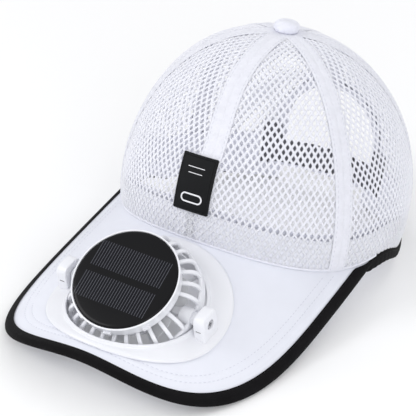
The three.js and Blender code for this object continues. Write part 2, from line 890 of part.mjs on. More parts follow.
const tapes = [
  ['front', 0],
  ['left_front', 60],
  ['right_front', -60],
  ['left_back', 120],
  ['right_back', -120],
];
tapes.forEach(([name, angle]) => {
  cap.add(piece(`seam_tape_${name}`, seamTape(angle, -peakSideDrop), whiteCloth()));
});
cap.add(piece('seam_tape_back', seamTape(180, archHeight + archBindingWidth), whiteCloth()));

const bandTurns = steps(bandTurn * 2 / column, -bandTurn, bandTurn);
const bandAngles = [-bandEndAngle, ...bandTurns, bandEndAngle];
cap.add(piece('hem_facing', crownBand(bandAngles, [0, facingHeight], facingDepth, facingCloth), whiteCloth()));
cap.add(piece('sweatband', crownBand(bandAngles, [0, sweatHeight], sweatDepth, sweatCloth), whiteCloth()));
cap.add(piece('hem_binding_left', hemBinding(1), blackCloth()));
cap.add(piece('hem_binding_right', hemBinding(-1), blackCloth()));
cap.add(piece('arch_binding', archBinding(), whiteCloth()));
const strapDepth = panelCloth + plyGap * 2 + archBindingCloth + plyGap;
cap.add(piece('strap_left', strap(1, strapDepth), blackCloth()));
cap.add(piece('strap_right', strap(-1, strapDepth + strapCloth + plyGap), blackCloth()));
cap.add(piece('top_button', topButton(), whiteCloth()));
cap.add(piece('peak', peakBoardPiece(), whiteCloth()));
cap.add(piece('peak_binding', peakBinding(), blackCloth()));
cap.add(piece('label_patch', labelPatch(), blackRubber()));
cap.add(piece('label_capsule', labelCapsule(), whitePlastic()));

const seat = new THREE.Group();
seat.position.set(0, -pivotForward, pivotHeight);
seat.rotation.x = seatSlope;
seat.add(piece('fan_flange', fanFlange(), whitePlastic()));
seat.add(piece('fan_retainer', fanRetainer(), whitePlastic()));
seat.add(piece('pivot_block_left', pivotBlock(1), whitePlastic()));
seat.add(piece('pivot_block_right', pivotBlock(-1), whitePlastic()));
seat.add(piece('pivot_screw_left', pivotScrew(1), steel()));
seat.add(piece('pivot_screw_right', pivotScrew(-1), steel()));
cap.add(seat);

const head = new THREE.Group();
head.position.set(0, -pivotForward, pivotHeight);
head.rotation.x = rad(headSlope);
head.add(piece('fan_cage', fanCage(), whitePlastic()));
head.add(piece('panel_frame', panelFrame(), whitePlastic()));
head.add(piece('solar_disc', solarDisc(), darkGlass()));
head.add(piece('fan_motor', fanMotor(), greyPlastic()));
head.add(piece('impeller', impeller(), greyPlastic()));
head.add(piece('lower_guard', lowerGuard(), whitePlastic()));
cap.add(head);

// The cap lies on the lowest point of the peak's binding and on the back of the hem's binding.
function lyingTilt() {
  const rear = V(0, crownHalfLength * Math.cos(rad(archAngle)), -hemBindingHeight);
  const under = peakBoard + touchGap + bindingCloth;
  const slopes = peakEdge(edgeStations).map((p) => {
    const z = peakTop(p.x, p.y) - under;
    return Math.atan2(rear.z - z, rear.y - p.y);
  });
  return Math.max(...slopes);
}

cap.rotation.x = -lyingTilt();
const part = new THREE.Group();
part.add(cap);
part.updateMatrixWorld(true);
const bounds = new THREE.Box3().setFromObject(part, true);
cap.position.set(
  -(bounds.min.x + bounds.max.x) / 2,
  -(bounds.min.y + bounds.max.y) / 2,
  -bounds.min.z,
);

export default part;
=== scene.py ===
"""A net cap with a solar fan in its peak, laid out as a Blender add-on.

The cap is shaped in millimetres as it is worn: the wearer faces -Y and the wearer's left is +X.
It is then tipped back to lie on its peak and its hem, and turned into metres.
"""

import json
import math

import bmesh
import bpy
import numpy as np
from bpy.props import FloatProperty, FloatVectorProperty, IntProperty, PointerProperty
from mathutils import Matrix, Vector

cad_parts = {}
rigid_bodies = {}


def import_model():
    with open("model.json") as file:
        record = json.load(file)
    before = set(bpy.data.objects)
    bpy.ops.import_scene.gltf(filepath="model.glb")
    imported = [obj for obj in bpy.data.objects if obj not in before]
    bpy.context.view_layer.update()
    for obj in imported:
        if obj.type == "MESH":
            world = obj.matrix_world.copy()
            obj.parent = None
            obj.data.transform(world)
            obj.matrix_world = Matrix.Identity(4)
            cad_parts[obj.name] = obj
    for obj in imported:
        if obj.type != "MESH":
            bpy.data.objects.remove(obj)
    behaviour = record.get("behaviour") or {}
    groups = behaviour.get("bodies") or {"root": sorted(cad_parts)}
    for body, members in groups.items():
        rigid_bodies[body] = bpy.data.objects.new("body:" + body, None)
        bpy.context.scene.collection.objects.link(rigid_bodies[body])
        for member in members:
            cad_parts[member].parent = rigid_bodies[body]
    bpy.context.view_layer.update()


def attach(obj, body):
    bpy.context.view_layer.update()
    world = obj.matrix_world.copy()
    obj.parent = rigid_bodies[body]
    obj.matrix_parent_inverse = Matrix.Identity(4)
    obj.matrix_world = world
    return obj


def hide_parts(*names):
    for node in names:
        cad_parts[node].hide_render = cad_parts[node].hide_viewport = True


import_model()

bl_info = {
    "name": "Solar fan cap",
    "version": (1, 0, 0),
    "blender": (4, 5, 0),
    "location": "3D View > Sidebar > Cap",
    "description": "Makes a net cap with a tilting solar fan in its peak",
    "category": "Add Mesh",
}

# Sizes are in millimetres, angles in degrees unless they are turned into radians here.

# Crown: half widths at the hem, height over the hem's plane
CROWN_X = 92.5
CROWN_Y = 92.0
CROWN_HEIGHT = 128.0
APEX_BACK = 1.1  # the apex lies a little behind the middle
HEM_RISE = 12.8  # the hem is raised in front, where it lies on the peak
TIP_RADIUS = 3.2  # the seams end here, under the button
GORE_TURN = 60.0  # one of six panels
FADE_FROM = 78.0  # the peak ends here
FADE_TO = 105.0  # from here to the back the hem lies in its plane

# Depths of the sewn layers below the crown's face
YARN_DEPTH = 0.55
FACING_DEPTH = 0.72
SWEAT_DEPTH = 2.9
FACING_HIGH = 21.0
SWEAT_HIGH = 24.0
BAND_END = 148.1  # the bands inside the hem end here, behind the arch's binding

# Opening at the back
ARCH_HALF = 34.0
ARCH_SPRING = 36.0  # up to here the arch has straight legs
ARCH_BINDING = 5.5
STRAP_LOW = 4.5
STRAP_HIGH = 22.5
STRAP_EDGE_LOW = 4.0
STRAP_EDGE_HIGH = 5.9

# Bands on the seams. The outer strip of the front one starts under the label.
BAND_FOLD = 0.9
FRONT_BAND_FROM = 16.0  # climb
# Half a band's section: shares of its half width, and the cloth's height there
BAND_SECTION = (
    (0, 0.16), (0.05, 0.26), (0.12, 0.4), (0.3, 0.42), (0.55, 0.42),
    (0.8, 0.38), (0.93, 0.3), (0.985, 0.16), (1, 0),
)

# Net
NET_TUCK = 0.6  # further in under the bands
NET_FRONT_OPEN = 24.0  # up to here, below the label, no band covers the front seam
NET_FRONT_TUCK = 0.2  # there the panels stop short of the seam by this share of a cell
NET_INNER = 10.0  # no cells nearer to the apex, under the button

# How far the binding and the sweatband hang below the hem, and more beside the peak's ends
HEM_HANG = 6.4
HEM_DEEPER = 1.9
SWEAT_HANG = 5.9
SWEAT_DEEPER = 2.1
HEM_DEEPEST = 82.0

# Label
LABEL_WIDE = 24.6
LABEL_HIGH = 35.0
LABEL_CORNER = 0.9
LABEL_BACK = 0.5  # over the crown's face
LABEL_EDGE = 2.05  # its highest edge over the crown's face
LABEL_FACE = 1.85  # its sunk face, which carries the outline
LABEL_MIDDLE = 49.5  # height over the hem's plane
LABEL_RISE = 0.98  # rise for each millimetre up the label
LABEL_SEAM = -1.0  # where round the crown its height is measured, in degrees from the front
LABEL_TURN = -0.7  # where round the crown its middle is, in degrees
LABEL_LEAN = math.radians(-1.2)

# Peak
PEAK_HALF = 91.7
PEAK_REACH = 111.2
PEAK_THICK = 2.4
PEAK_SLOPE = 0.363
PEAK_ARCH = 34.9  # its sides lie this much lower than its middle line
PEAK_LIFT = 2.13  # its nose rises this much over the straight slope
PEAK_SHOULDER = 75.0  # its sides turn in from here on, this far in front of the middle
PEAK_SQUARE = 2.96  # 2 gives an ellipse, more a squarer nose
PEAK_ROWS = (10.6, 14.6)  # rows of stitches, in from the edge
BINDING_WIDE = 4.0

# Fan: the pivots cross the middle of the seat and of the head
PIVOT = np.array([0.0, -148.5, -6.0])
SEAT_SLOPE = math.atan(PEAK_SLOPE)
HEAD_SLOPE = math.radians(41)
COLLAR_IN = 42.1
COLLAR_OUT = 44.0
FLANGE_TOP = 2.1
BLOCK_IN = 45.5
BLOCK_OUT = 52.9
BLOCK_RADIUS = 7.8
HEAD_OUT = 41.4
HEAD_IN = 39.2
HUB_RADIUS = 9.0
BLADE_TIP = 33.0

# How the cap lies
LYING = math.radians(8.312472)
LYING_SHIFT = np.array([0.0, 54.154924, 19.521349])

# Stage, in metres
LAMPS = (
    ("key", (-1.3, -1.1, 1.25), 1.2, 12.5),
    ("fill", (1.1, -1.3, 0.9), 1.4, 11),
    ("back", (0.2, 1.3, 1.3), 1.2, 4.5),
)
LAMP_AIM = (0, -0.03, 0.05)
CAMERA_PLACE = (0.52167, -0.87761, 0.64375)
CAMERA_AIM = (-0.02476, 0.02697, 0.03048)
CAMERA_ROLL = math.radians(2.118)
CAMERA_LENS = 162.165


# Shapes of the cap, as it is worn


def peak_top(x, y):
    """Height of the peak's upper face."""
    forward = np.minimum(0, y + CROWN_Y)
    lift = PEAK_LIFT * (forward / PEAK_REACH) ** 2
    arch = PEAK_ARCH * (x / PEAK_HALF) ** 2
    return HEM_RISE + PEAK_SLOPE * (y + CROWN_Y) - arch + lift


def hem_fade(angle):
    """1 where the hem lies on the peak, 0 behind the peak's ends."""
    turn = np.abs(np.mod(np.asarray(angle, float) + 180, 360) - 180)
    share = np.clip((turn - FADE_FROM) / (FADE_TO - FADE_FROM), 0, 1)
    return 1 - share * share * (3 - 2 * share)


def hem_height(angle):
    """Height of the hem, which rests on the peak in front."""
    turn = np.radians(angle)
    return hem_fade(angle) * peak_top(CROWN_X * np.sin(turn), -CROWN_Y * np.cos(turn))


def crown_face(angle, climb):
    """Points on the crown's outer face. Climb is 0 at the hem and 90 at the apex."""
    angle, climb = np.broadcast_arrays(np.asarray(angle, float), np.asarray(climb, float))
    s, c = np.sin(np.radians(angle)), np.cos(np.radians(angle))
    up = np.maximum(0, np.sin(np.radians(climb)))
    over = np.maximum(0, np.cos(np.radians(climb)))
    narrowing = over ** (0.807 - 0.037 * c)
    reach = narrowing * (1 + (0.108 - 0.028 * c) * np.sin(2 * np.radians(climb)))
    rise = up ** (1.213 + 0.102 * c)
    hem = hem_height(angle)
    x = CROWN_X * s * reach
    y = APEX_BACK * (1 - narrowing) - CROWN_Y * c * reach
    return np.stack([x, y, hem + (CROWN_HEIGHT - hem) * rise], -1)


def crown_normal(angle, climb):
    """The way out of the crown's face, of length 1."""
    climb = np.asarray(climb, float)
    along = crown_face(angle, np.minimum(climb + 2, 89)) - crown_face(angle, np.maximum(climb - 2, 0))
    around = crown_face(np.asarray(angle) + 2, climb) - crown_face(np.asarray(angle) - 2, climb)
    normal = np.cross(around, along)
    return normal / np.maximum(np.linalg.norm(normal, axis=-1, keepdims=True), 1e-9)


def crown_point(angle, climb, depth):
    """A point below the crown's face. Near the hem it is lowered or raised to rest on the peak."""
    angle, climb, depth = np.broadcast_arrays(*(np.asarray(v, float) for v in (angle, climb, depth)))
    point = crown_face(angle, climb) - crown_normal(angle, climb) * depth[..., None]
    fade = hem_fade(angle)
    foot = crown_face(angle, 0 * climb) - crown_normal(angle, 0 * climb) * depth[..., None]
    seat = fade * peak_top(foot[..., 0], foot[..., 1]) + 0.15
    near = np.clip(1 - climb / 9, 0, 1)
    point[..., 2] += (seat - foot[..., 2]) * near
    return point


def seam_bow(climb):
    """How far the front seam bows toward the wearer's left."""
    return 4.6 * np.exp(-((np.asarray(climb, float) - 37) / 17) ** 2)


def crown_radius(angle, climb):
    """Distance from the upright line through the apex."""
    point = crown_face(angle, climb)
    return np.hypot(point[..., 0], point[..., 1] - APEX_BACK)


def climb_where(test, shape):
    """The climb up to which a test holds, found by halving."""
    low = np.zeros(shape)
    high = np.full(shape, 90.0)
    for _ in range(30):
        middle = (low + high) / 2
        below = test(middle)
        low = np.where(below, middle, low)
        high = np.where(below, high, middle)
    return (low + high) / 2


def tip_climb():
    """The climb at which the seams meet under the button."""
    return float(climb_where(lambda climb: crown_radius(90.0, climb) > TIP_RADIUS, ()))


def climb_above_hem(angle, height):
    """The climb at which the crown's face is a height above the hem."""
    angle, height = np.broadcast_arrays(np.asarray(angle, float), np.asarray(height, float))
    goal = hem_height(angle) + np.maximum(height, 0)
    return climb_where(lambda climb: crown_face(angle, climb)[..., 2] < goal, angle.shape)


def band_point(angle, height, depth):
    """A point at a height above the hem, or hanging below it."""
    point = crown_point(angle, climb_above_hem(angle, height), depth)
    point[..., 2] += np.minimum(height, 0)
    return point


def near_peak_end(angle):
    """1 beside the peak's ends, and less and less away from them."""
    return np.exp(-((np.abs(angle) - HEM_DEEPEST) / 15) ** 2)


def back_place(x, z):
    """Angle and climb of a point of given x and height on the back of the crown."""
    x, z = np.broadcast_arrays(np.asarray(x, float), np.asarray(z, float))
    angle = np.full(x.shape, 180.0)
    climb = np.zeros(x.shape)
    for _ in range(12):
        climb = climb_where(lambda c: crown_face(angle, c)[..., 2] < z, x.shape)
        angle = 180 - np.degrees(np.arcsin(np.clip(x / crown_radius(angle, climb), -1, 1)))
    return angle, climb


def peak_edge(count):
    """The peak's edge, evenly spaced from the wearer's right end to the left one."""
    last = math.radians(FADE_FROM)
    end = np.array([CROWN_X * math.sin(last) + 0.5, -CROWN_Y * math.cos(last)])
    front = -CROWN_Y - PEAK_REACH
    power = 2 / PEAK_SQUARE
    turn = np.radians(np.linspace(0, 90, 121))
    nose = np.stack([
        PEAK_HALF * np.sin(turn) ** power,
        -PEAK_SHOULDER + (front + PEAK_SHOULDER) * np.abs(np.cos(turn)) ** power,
    ], -1)
    t = np.linspace(0, 1, 25)[1:, None]
    a = np.array([PEAK_HALF, -PEAK_SHOULDER])
    b = np.array([PEAK_HALF, (end[1] - PEAK_SHOULDER) / 2])
    shoulder = a * (1 - t) ** 2 + b * 2 * t * (1 - t) + end * t ** 2
    half = np.concatenate([nose, shoulder])
    line = np.concatenate([(half * [-1, 1])[:0:-1], half])
    return even(line, count)


def lengths(line):
    """The way along a line to each of its points."""
    return np.concatenate([[0], np.cumsum(np.linalg.norm(np.diff(line, axis=0), axis=1))])


def even(line, count):
    """The same line, with evenly spaced points."""
    length = lengths(line)
    goals = np.linspace(0, length[-1], count + 1)
    return np.stack([np.interp(goals, length, line[:, i]) for i in range(line.shape[1])], -1)


def turned_frame(points, slope):
    """Points of a frame at the pivots, whose Z axis leans forward by the slope."""
    points = np.asarray(points, float)
    c, s = math.cos(slope), math.sin(slope)
    y = points[..., 1] * c - points[..., 2] * s
    z = points[..., 1] * s + points[..., 2] * c
    return np.stack([points[..., 0], y, z], -1) + PIVOT


def from_seat(points):
    """From the frame of the seat, whose Z axis stands on the peak."""
    return turned_frame(points, SEAT_SLOPE)


def from_head(points):
    """From the frame of the tilting head, whose Z axis is the impeller's."""
    return turned_frame(points, HEAD_SLOPE)


def seat_ground(x, y):
    """Height of the peak's upper face in the seat's frame, found in a few steps."""
    c, s = math.cos(SEAT_SLOPE), math.sin(SEAT_SLOPE)
    z = np.zeros(np.shape(x))
    for _ in range(6):
        top = peak_top(x, y * c - z * s + PIVOT[1])
        z = z + (top - PIVOT[2] - y * s - z * c) * c
    return z


def lying(points):
    """From the cap as worn, in millimetres, to the cap as it lies, in metres."""
    points = np.asarray(points, float)
    c, s = math.cos(LYING), math.sin(LYING)
    y = points[..., 1] * c + points[..., 2] * s
    z = -points[..., 1] * s + points[..., 2] * c
    return (np.stack([points[..., 0], y, z], -1) + LYING_SHIFT) / 1000


# Skins


class Skin:
    """Points, faces and flat cloth coordinates of a piece that is being made."""

    def __init__(self):
        self.points = []
        self.faces = []
        self.flat = []
        self.count = 0

    def add(self, points, faces, flat):
        """Adds points, faces that number them from 0, and a flat place for each point."""
        self.points.append(points)
        self.flat.append(flat)
        self.faces.extend([tuple(i + self.count for i in face) for face in faces])
        self.count += len(points)

    def outward(self, points, faces, flat):
        """Adds a closed skin of quads and triangles, turned so that its faces look outward."""
        quads = np.array([face if len(face) == 4 else (*face, face[-1]) for face in faces])
        a, b, c, d = ((points - points.mean(0))[quads[:, i]] for i in range(4))
        volume = (a * np.cross(b, c)).sum() + (a * np.cross(c, d)).sum()
        if volume < 0:
            faces = [tuple(reversed(face)) for face in faces]
        self.add(points, faces, flat)

    def sweep(self, sections, loop=False):
        """Adds a closed skin over a row of closed sections."""
        sections = np.asarray(sections, float)
        n, k = sections.shape[:2]
        places = np.arange(n * k).reshape(n, k)
        ahead = np.roll(places, -1, 0)
        rows = n if loop else n - 1
        quads = np.stack([
            places[:rows], ahead[:rows], np.roll(ahead, -1, 1)[:rows], np.roll(places, -1, 1)[:rows],
        ], -1).reshape(-1, 4)
        faces = [tuple(q) for q in quads.tolist()]
        along = lengths(sections.mean(1))
        across = lengths(sections[n // 2])
        flat = np.stack(np.meshgrid(along, across, indexing="ij"), -1).reshape(-1, 2)
        points = sections.reshape(-1, 3)
        if not loop:
            ends = sections[[0, -1]].mean(1)
            points = np.concatenate([points, ends])
            flat = np.concatenate([flat, [[0, 0], [along[-1], 0]]])
            for j in range(k):
                faces.append((j, (j + 1) % k, n * k))
                faces.append(((n - 1) * k + (j + 1) % k, (n - 1) * k + j, n * k + 1))
        self.outward(points, faces, flat)

    def sweep_band(self, angles, section):
        """Adds a band round the crown. Its section holds heights above the hem, and depths."""
        self.sweep(band_point(angles[:, None], section[None, :, 0], section[None, :, 1]))

    def turned(self, profile, sides, place):
        """Adds a closed profile of radii and heights, turned round the Z axis of a frame."""
        profile = np.asarray(profile, float)
        turn = np.linspace(0, 2 * math.pi, sides, endpoint=False)[:, None]
        sections = np.stack([
            profile[None, :, 0] * np.cos(turn),
            profile[None, :, 0] * np.sin(turn),
            np.broadcast_to(profile[None, :, 1], (sides, len(profile))),
        ], -1)
        self.sweep(place(sections), loop=True)

    def sew(self, line, up, length, gap, thick):
        """Adds a row of stitches on a line, standing half out of the cloth."""
        reach = lengths(line)
        middles = np.arange(length / 2 + gap, reach[-1] - length / 2, length + gap)

        def on(table, goals):
            return np.stack([np.interp(goals, reach, table[:, i]) for i in range(3)], -1)

        centre = on(line, middles)
        ahead = on(line, middles + length / 2) - on(line, middles - length / 2)
        ahead /= np.maximum(np.linalg.norm(ahead, axis=1, keepdims=True), 1e-9)
        out = on(up, middles)
        out /= np.maximum(np.linalg.norm(out, axis=1, keepdims=True), 1e-9)
        side = np.cross(ahead, out)
        for c, a, o, s in zip(centre, ahead, out, side):
            rings = []
            for t in (-1, -0.75, 0, 0.75, 1):
                r = thick / 2 * (0.25 + 0.75 * math.sqrt(1 - t * t))
                turn = np.linspace(0, 2 * math.pi, 6, endpoint=False)[:, None]
                sink = o * thick * 0.3 * abs(t)
                rings.append(c + a * t * length / 2 - sink + (o * np.cos(turn) + s * np.sin(turn)) * r)
            self.sweep(rings)


def mesh_of(name, skin):
    """The skin as a mesh, lying and in metres."""
    mesh = bpy.data.meshes.new(name)
    mesh.from_pydata(lying(np.concatenate(skin.points)).tolist(), [], skin.faces)
    return mesh


def make(name, skin, finish, body, nodes=(), crease=40.0, weld=True):
    """Turns a skin into a piece with a finish. It rides on a body and stands for CAD nodes."""
    mesh = mesh_of(name, skin)
    flat = np.concatenate(skin.flat) / 1000
    layer = mesh.uv_layers.new(name="cut")
    corners = np.zeros(len(mesh.loops), np.int32)
    mesh.loops.foreach_get("vertex_index", corners)
    layer.data.foreach_set("uv", flat[corners].astype(np.float32).ravel())
    piece = bpy.data.objects.new(name, mesh)
    bpy.context.scene.collection.objects.link(piece)
    if weld:
        weld_points(mesh)
    mesh.validate()
    mesh.polygons.foreach_set("use_smooth", np.ones(len(mesh.polygons), bool))
    mesh.set_sharp_from_angle(angle=math.radians(crease))
    mesh.materials.append(finish_of(finish))
    mesh.update()
    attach(piece, body)
    if nodes:
        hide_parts(*nodes)
    return piece


def weld_points(mesh):
    """Joins points that lie in the same place."""
    work = bmesh.new()
    work.from_mesh(mesh)
    bmesh.ops.remove_doubles(work, verts=work.verts, dist=2e-6)
    bmesh.ops.dissolve_degenerate(work, edges=work.edges, dist=1e-6)
    work.to_mesh(mesh)
    work.free()


def cut_away(piece, cutter_skin):
    """Cuts a closed skin out of a piece, and throws the cutter away."""
    mesh = mesh_of("cutter", cutter_skin)
    cutter = bpy.data.objects.new("cutter", mesh)
    bpy.context.scene.collection.objects.link(cutter)
    weld_points(mesh)
    parent = piece.parent
    piece.parent = None
    modifier = piece.modifiers.new("cut", "BOOLEAN")
    modifier.operation = "DIFFERENCE"
    modifier.solver = "EXACT"
    modifier.object = cutter
    bpy.context.view_layer.update()
    graph = bpy.context.evaluated_depsgraph_get()
    result = bpy.data.meshes.new_from_object(piece.evaluated_get(graph), depsgraph=graph)
    piece.modifiers.clear()
    old = piece.data
    piece.data = result
    bpy.data.meshes.remove(old)
    bpy.data.objects.remove(cutter)
    bpy.data.meshes.remove(mesh)
    piece.parent = parent
    piece.data.set_sharp_from_angle(angle=math.radians(40))


def rounded(low, high, near, far, radius, steps=3):
    """A closed rounded section: heights from low to high, depths from near to far."""
    corners = [
        (high - radius, far - radius, 0), (low + radius, far - radius, 90),
        (low + radius, near + radius, 180), (high - radius, near + radius, 270),
    ]
    points = []
    for height, depth, start in corners:
        for turn in np.radians(np.linspace(start, start + 90, steps + 1)):
            points.append((height + radius * math.cos(turn), depth + radius * math.sin(turn)))
    return np.array(points)


def fill_line(points, pitch):
    """Adds points to a closed section, so that no side is longer than the pitch."""
    points = np.asarray(points, float)
    filled = []
    for a, b in zip(points, np.roll(points, -1, 0)):
        count = max(1, int(math.ceil(np.linalg.norm(b - a) / pitch)))
        filled.extend(a + (b - a) * i / count for i in range(count))
    return np.array(filled)


# Finishes


def linear(red, green, blue):
    """A shader colour from one picked on a screen, 0 to 255."""
    def one(value):
        value /= 255
        return value / 12.92 if value <= 0.04045 else ((value + 0.055) / 1.055) ** 2.4

    return (one(red), one(green), one(blue), 1.0)


class Finish:
    """A material with a shader, a colour that varies a little, and fine relief."""

    def __init__(self, name, colour, roughness, **sockets):
        self.material = bpy.data.materials.new(name)
        self.material.use_nodes = True
        self.tree = self.material.node_tree
        self.shader = self.tree.nodes["Principled BSDF"]
        self.colour = tuple(colour)
        self.set("Base Color", self.colour)
        self.set("Roughness", roughness)
        for socket, value in sockets.items():
            self.set(socket.replace("_", " "), value)
        self.relief = None

    def set(self, socket, value):
        self.shader.inputs[socket].default_value = value

    def node(self, kind, **values):
        node = self.tree.nodes.new(kind)
        for key, value in values.items():
            if key in node.inputs:
                node.inputs[key].default_value = value
            else:
                setattr(node, key, value)
        return node

    def link(self, source, target):
        self.tree.links.new(source, target)

    def noise(self, size, **values):
        """Soft noise in patches of a size."""
        noise = self.node("ShaderNodeTexNoise", Scale=1.0, **values)
        self.link(self.place(scale=1 / size), noise.inputs["Vector"])
        return noise.outputs["Fac"]

    def place(self, kind="Object", scale=1.0):
        """The point's coordinates, scaled."""
        where = self.node("ShaderNodeTexCoord")
        mapping = self.node("ShaderNodeMapping")
        mapping.inputs["Scale"].default_value = (scale, scale, scale)
        self.link(where.outputs[kind], mapping.inputs["Vector"])
        return mapping.outputs["Vector"]

    def mottle(self, size, amount):
        """Lets the colour wander between a darker and a lighter tone over patches of a size."""
        ramp = self.node("ShaderNodeValToRGB")
        dark, light = ramp.color_ramp.elements
        dark.position = 0.3
        light.position = 0.7
        dark.color = (*(c * (1 - amount) for c in self.colour[:3]), 1)
        light.color = (*(min(1, c * (1 + amount)) for c in self.colour[:3]), 1)
        self.link(self.noise(size, Detail=3.0, Roughness=0.6), ramp.inputs["Fac"])
        self.link(ramp.outputs["Color"], self.shader.inputs["Base Color"])
        return self

    def wear(self, size, low, high):
        """Lets the roughness wander between two values."""
        spread = self.node("ShaderNodeMapRange")
        spread.inputs["To Min"].default_value = low
        spread.inputs["To Max"].default_value = high
        self.link(self.noise(size, Detail=4.0), spread.inputs["Value"])
        self.link(spread.outputs["Result"], self.shader.inputs["Roughness"])
        return self

    def raise_by(self, height, depth):
        """Adds relief to what is there already."""
        bump = self.node("ShaderNodeBump", Strength=1.0, Distance=depth)
        self.link(height, bump.inputs["Height"])
        if self.relief is not None:
            self.link(self.relief, bump.inputs["Normal"])
        self.relief = bump.outputs["Normal"]
        self.link(self.relief, self.shader.inputs["Normal"])
        return self

    def grain(self, size, depth):
        """Fine uneven relief."""
        return self.raise_by(self.noise(size, Detail=3.0), depth)

    def weave(self, pitch, depth):
        """Two crossing sets of yarns in the cloth's own flat coordinates."""
        vector = self.place("UV")
        heights = []
        for direction in ("X", "Y"):
            wave = self.node("ShaderNodeTexWave", Scale=math.pi / (pitch * 10), Distortion=0.6)
            wave.inputs["Detail Scale"].default_value = 2.0
            wave.bands_direction = direction
            self.link(vector, wave.inputs["Vector"])
            heights.append(wave.outputs["Fac"])
        cross = self.node("ShaderNodeMath", operation="MAXIMUM")
        self.link(heights[0], cross.inputs[0])
        self.link(heights[1], cross.inputs[1])
        return self.raise_by(cross.outputs["Value"], depth)


FINISHES = {}


def finish_of(name):
    """The material of a finish. All of them are made when the first is asked for."""
    if not FINISHES:
        make_finishes(bpy.context.scene.cap_colours)
    return FINISHES[name].material


def make_finishes(colours):
    """Makes every finish of the cap."""
    net = Finish("net yarn", colours.net, 0.75, Sheen_Weight=0.2, Subsurface_Weight=0.8,
                 Subsurface_Radius=(1, 1, 1), Subsurface_Scale=0.0025)
    net.mottle(0.012, 0.03).grain(0.0005, 0.00006)
    cloth = Finish("white cloth", colours.cloth, 0.82, Sheen_Weight=0.2, Subsurface_Weight=0.3,
                   Subsurface_Radius=(1, 1, 1), Subsurface_Scale=0.001)
    cloth.mottle(0.004, 0.035).weave(0.0006, 0.00012).grain(0.0016, 0.00035)
    peak = Finish("peak cloth", colours.peak, 0.78, Sheen_Weight=0.2)
    peak.mottle(0.03, 0.02).weave(0.0007, 0.00006).grain(0.006, 0.00015)
    binding = Finish("black binding cloth", colours.binding, 0.85, Specular_IOR_Level=0.08,
                     Sheen_Weight=0.03)
    binding.mottle(0.008, 0.2).weave(0.0008, 0.00012).grain(0.003, 0.0002)
    # The straps are black webbing. Their mid-grey colour is painted fill light, which lightens them where
    # they lie in the shade inside the back of the crown.
    strap = Finish("black webbing lit by painted fill", colours.strap, 0.8, Specular_IOR_Level=0.15)
    strap.mottle(0.006, 0.15).weave(0.0009, 0.00015).grain(0.003, 0.0002)
    white_thread = Finish("white thread", colours.thread, 0.7)
    white_thread.mottle(0.003, 0.04).grain(0.0003, 0.0001)
    black_thread = Finish("black thread", colours.binding, 0.6, Specular_IOR_Level=0.2)
    black_thread.mottle(0.003, 0.2).grain(0.0003, 0.0001)
    rubber = Finish("label rubber", colours.rubber, 0.6, Specular_IOR_Level=0.14)
    rubber.mottle(0.006, 0.06).wear(0.01, 0.48, 0.62).grain(0.0006, 0.00004)
    outline = Finish("label print", colours.print_white, 0.6)
    outline.mottle(0.002, 0.05).grain(0.0005, 0.00003)
    plastic = Finish("white plastic", colours.plastic, 0.3, Coat_Weight=0.2, Subsurface_Weight=0.15,
                     Subsurface_Radius=(1, 1, 1), Subsurface_Scale=0.002)
    plastic.mottle(0.05, 0.012).wear(0.03, 0.26, 0.36).grain(0.012, 0.00006)
    grey = Finish("grey clear plastic", colours.blades, 0.28, Coat_Weight=0.3)
    grey.mottle(0.03, 0.03).wear(0.02, 0.22, 0.34).grain(0.01, 0.00005)
    steel = Finish("screw steel", (0.55, 0.55, 0.56, 1), 0.3, Metallic=1.0)
    steel.mottle(0.004, 0.08).wear(0.003, 0.22, 0.4).grain(0.0008, 0.00003)
    # Painted shade: a near-black finish that stands in for the shade inside the slots on the pivot blocks.
    dark = Finish("painted slot shade", (0.012, 0.012, 0.013, 1), 0.5)
    dark.mottle(0.003, 0.2).grain(0.001, 0.00003)
    FINISHES.update({
        "net": net, "cloth": cloth, "peak": peak, "binding": binding, "strap": strap,
        "white thread": white_thread, "black thread": black_thread, "rubber": rubber, "print": outline,
        "plastic": plastic, "clear grey": grey, "steel": steel, "dark": dark, "glaze": solar_glaze(colours),
    })


def solar_glaze(colours):
    """Dark cells with fine collector lines, under a polished coat."""
    glaze = Finish("solar glaze", colours.glaze, 0.25, Specular_IOR_Level=0.1, Coat_Weight=0.1,
                   Coat_Roughness=0.05)
    where = glaze.node("ShaderNodeTexCoord")
    split = glaze.node("ShaderNodeSeparateXYZ")
    glaze.link(where.outputs["UV"], split.inputs["Vector"])

    def step(value, operation, other):
        node = glaze.node("ShaderNodeMath", operation=operation)
        for socket, source in ((node.inputs[0], value), (node.inputs[1], other)):
            if isinstance(source, (int, float)):
                socket.default_value = source
            else:
                glaze.link(source, socket)
        return node.outputs["Value"]

    def within(value, low, high):
        return step(step(value, "GREATER_THAN", low), "MULTIPLY", step(value, "LESS_THAN", high))

    x, y = split.outputs["X"], split.outputs["Y"]
    left, right = -0.0255, 0.0229
    upper_row, lower_row = (0.0016, 0.0189), (-0.0194, -0.0027)
    half_line = 0.075  # share of the pitch
    pitch = (right - left) / (bpy.context.scene.fan_sizes.cell_lines - 1)
    along = step(step(x, "ADD", pitch / 2 - left), "DIVIDE", pitch)
    off = step(step(step(along, "FRACT", 0), "SUBTRACT", 0.5), "ABSOLUTE", 0)
    line = step(off, "LESS_THAN", half_line)
    rows = step(within(y, *upper_row), "ADD", within(y, *lower_row))
    cell = step(rows, "MULTIPLY", within(x, left - pitch / 4, right + pitch / 4))
    mask = step(line, "MULTIPLY", cell)
    tone = glaze.node("ShaderNodeMix", data_type="RGBA")
    tone.inputs[6].default_value = glaze.colour
    tone.inputs[7].default_value = (0.006, 0.006, 0.009, 1)
    glaze.link(cell, tone.inputs[0])
    both = glaze.node("ShaderNodeMix", data_type="RGBA")
    glaze.link(tone.outputs[2], both.inputs[6])
    both.inputs[7].default_value = tuple(colours.cell_line)
    glaze.link(mask, both.inputs[0])
    glaze.link(both.outputs[2], glaze.shader.inputs["Base Color"])
    glaze.grain(0.03, 0.000006)
    return glaze


# Settings


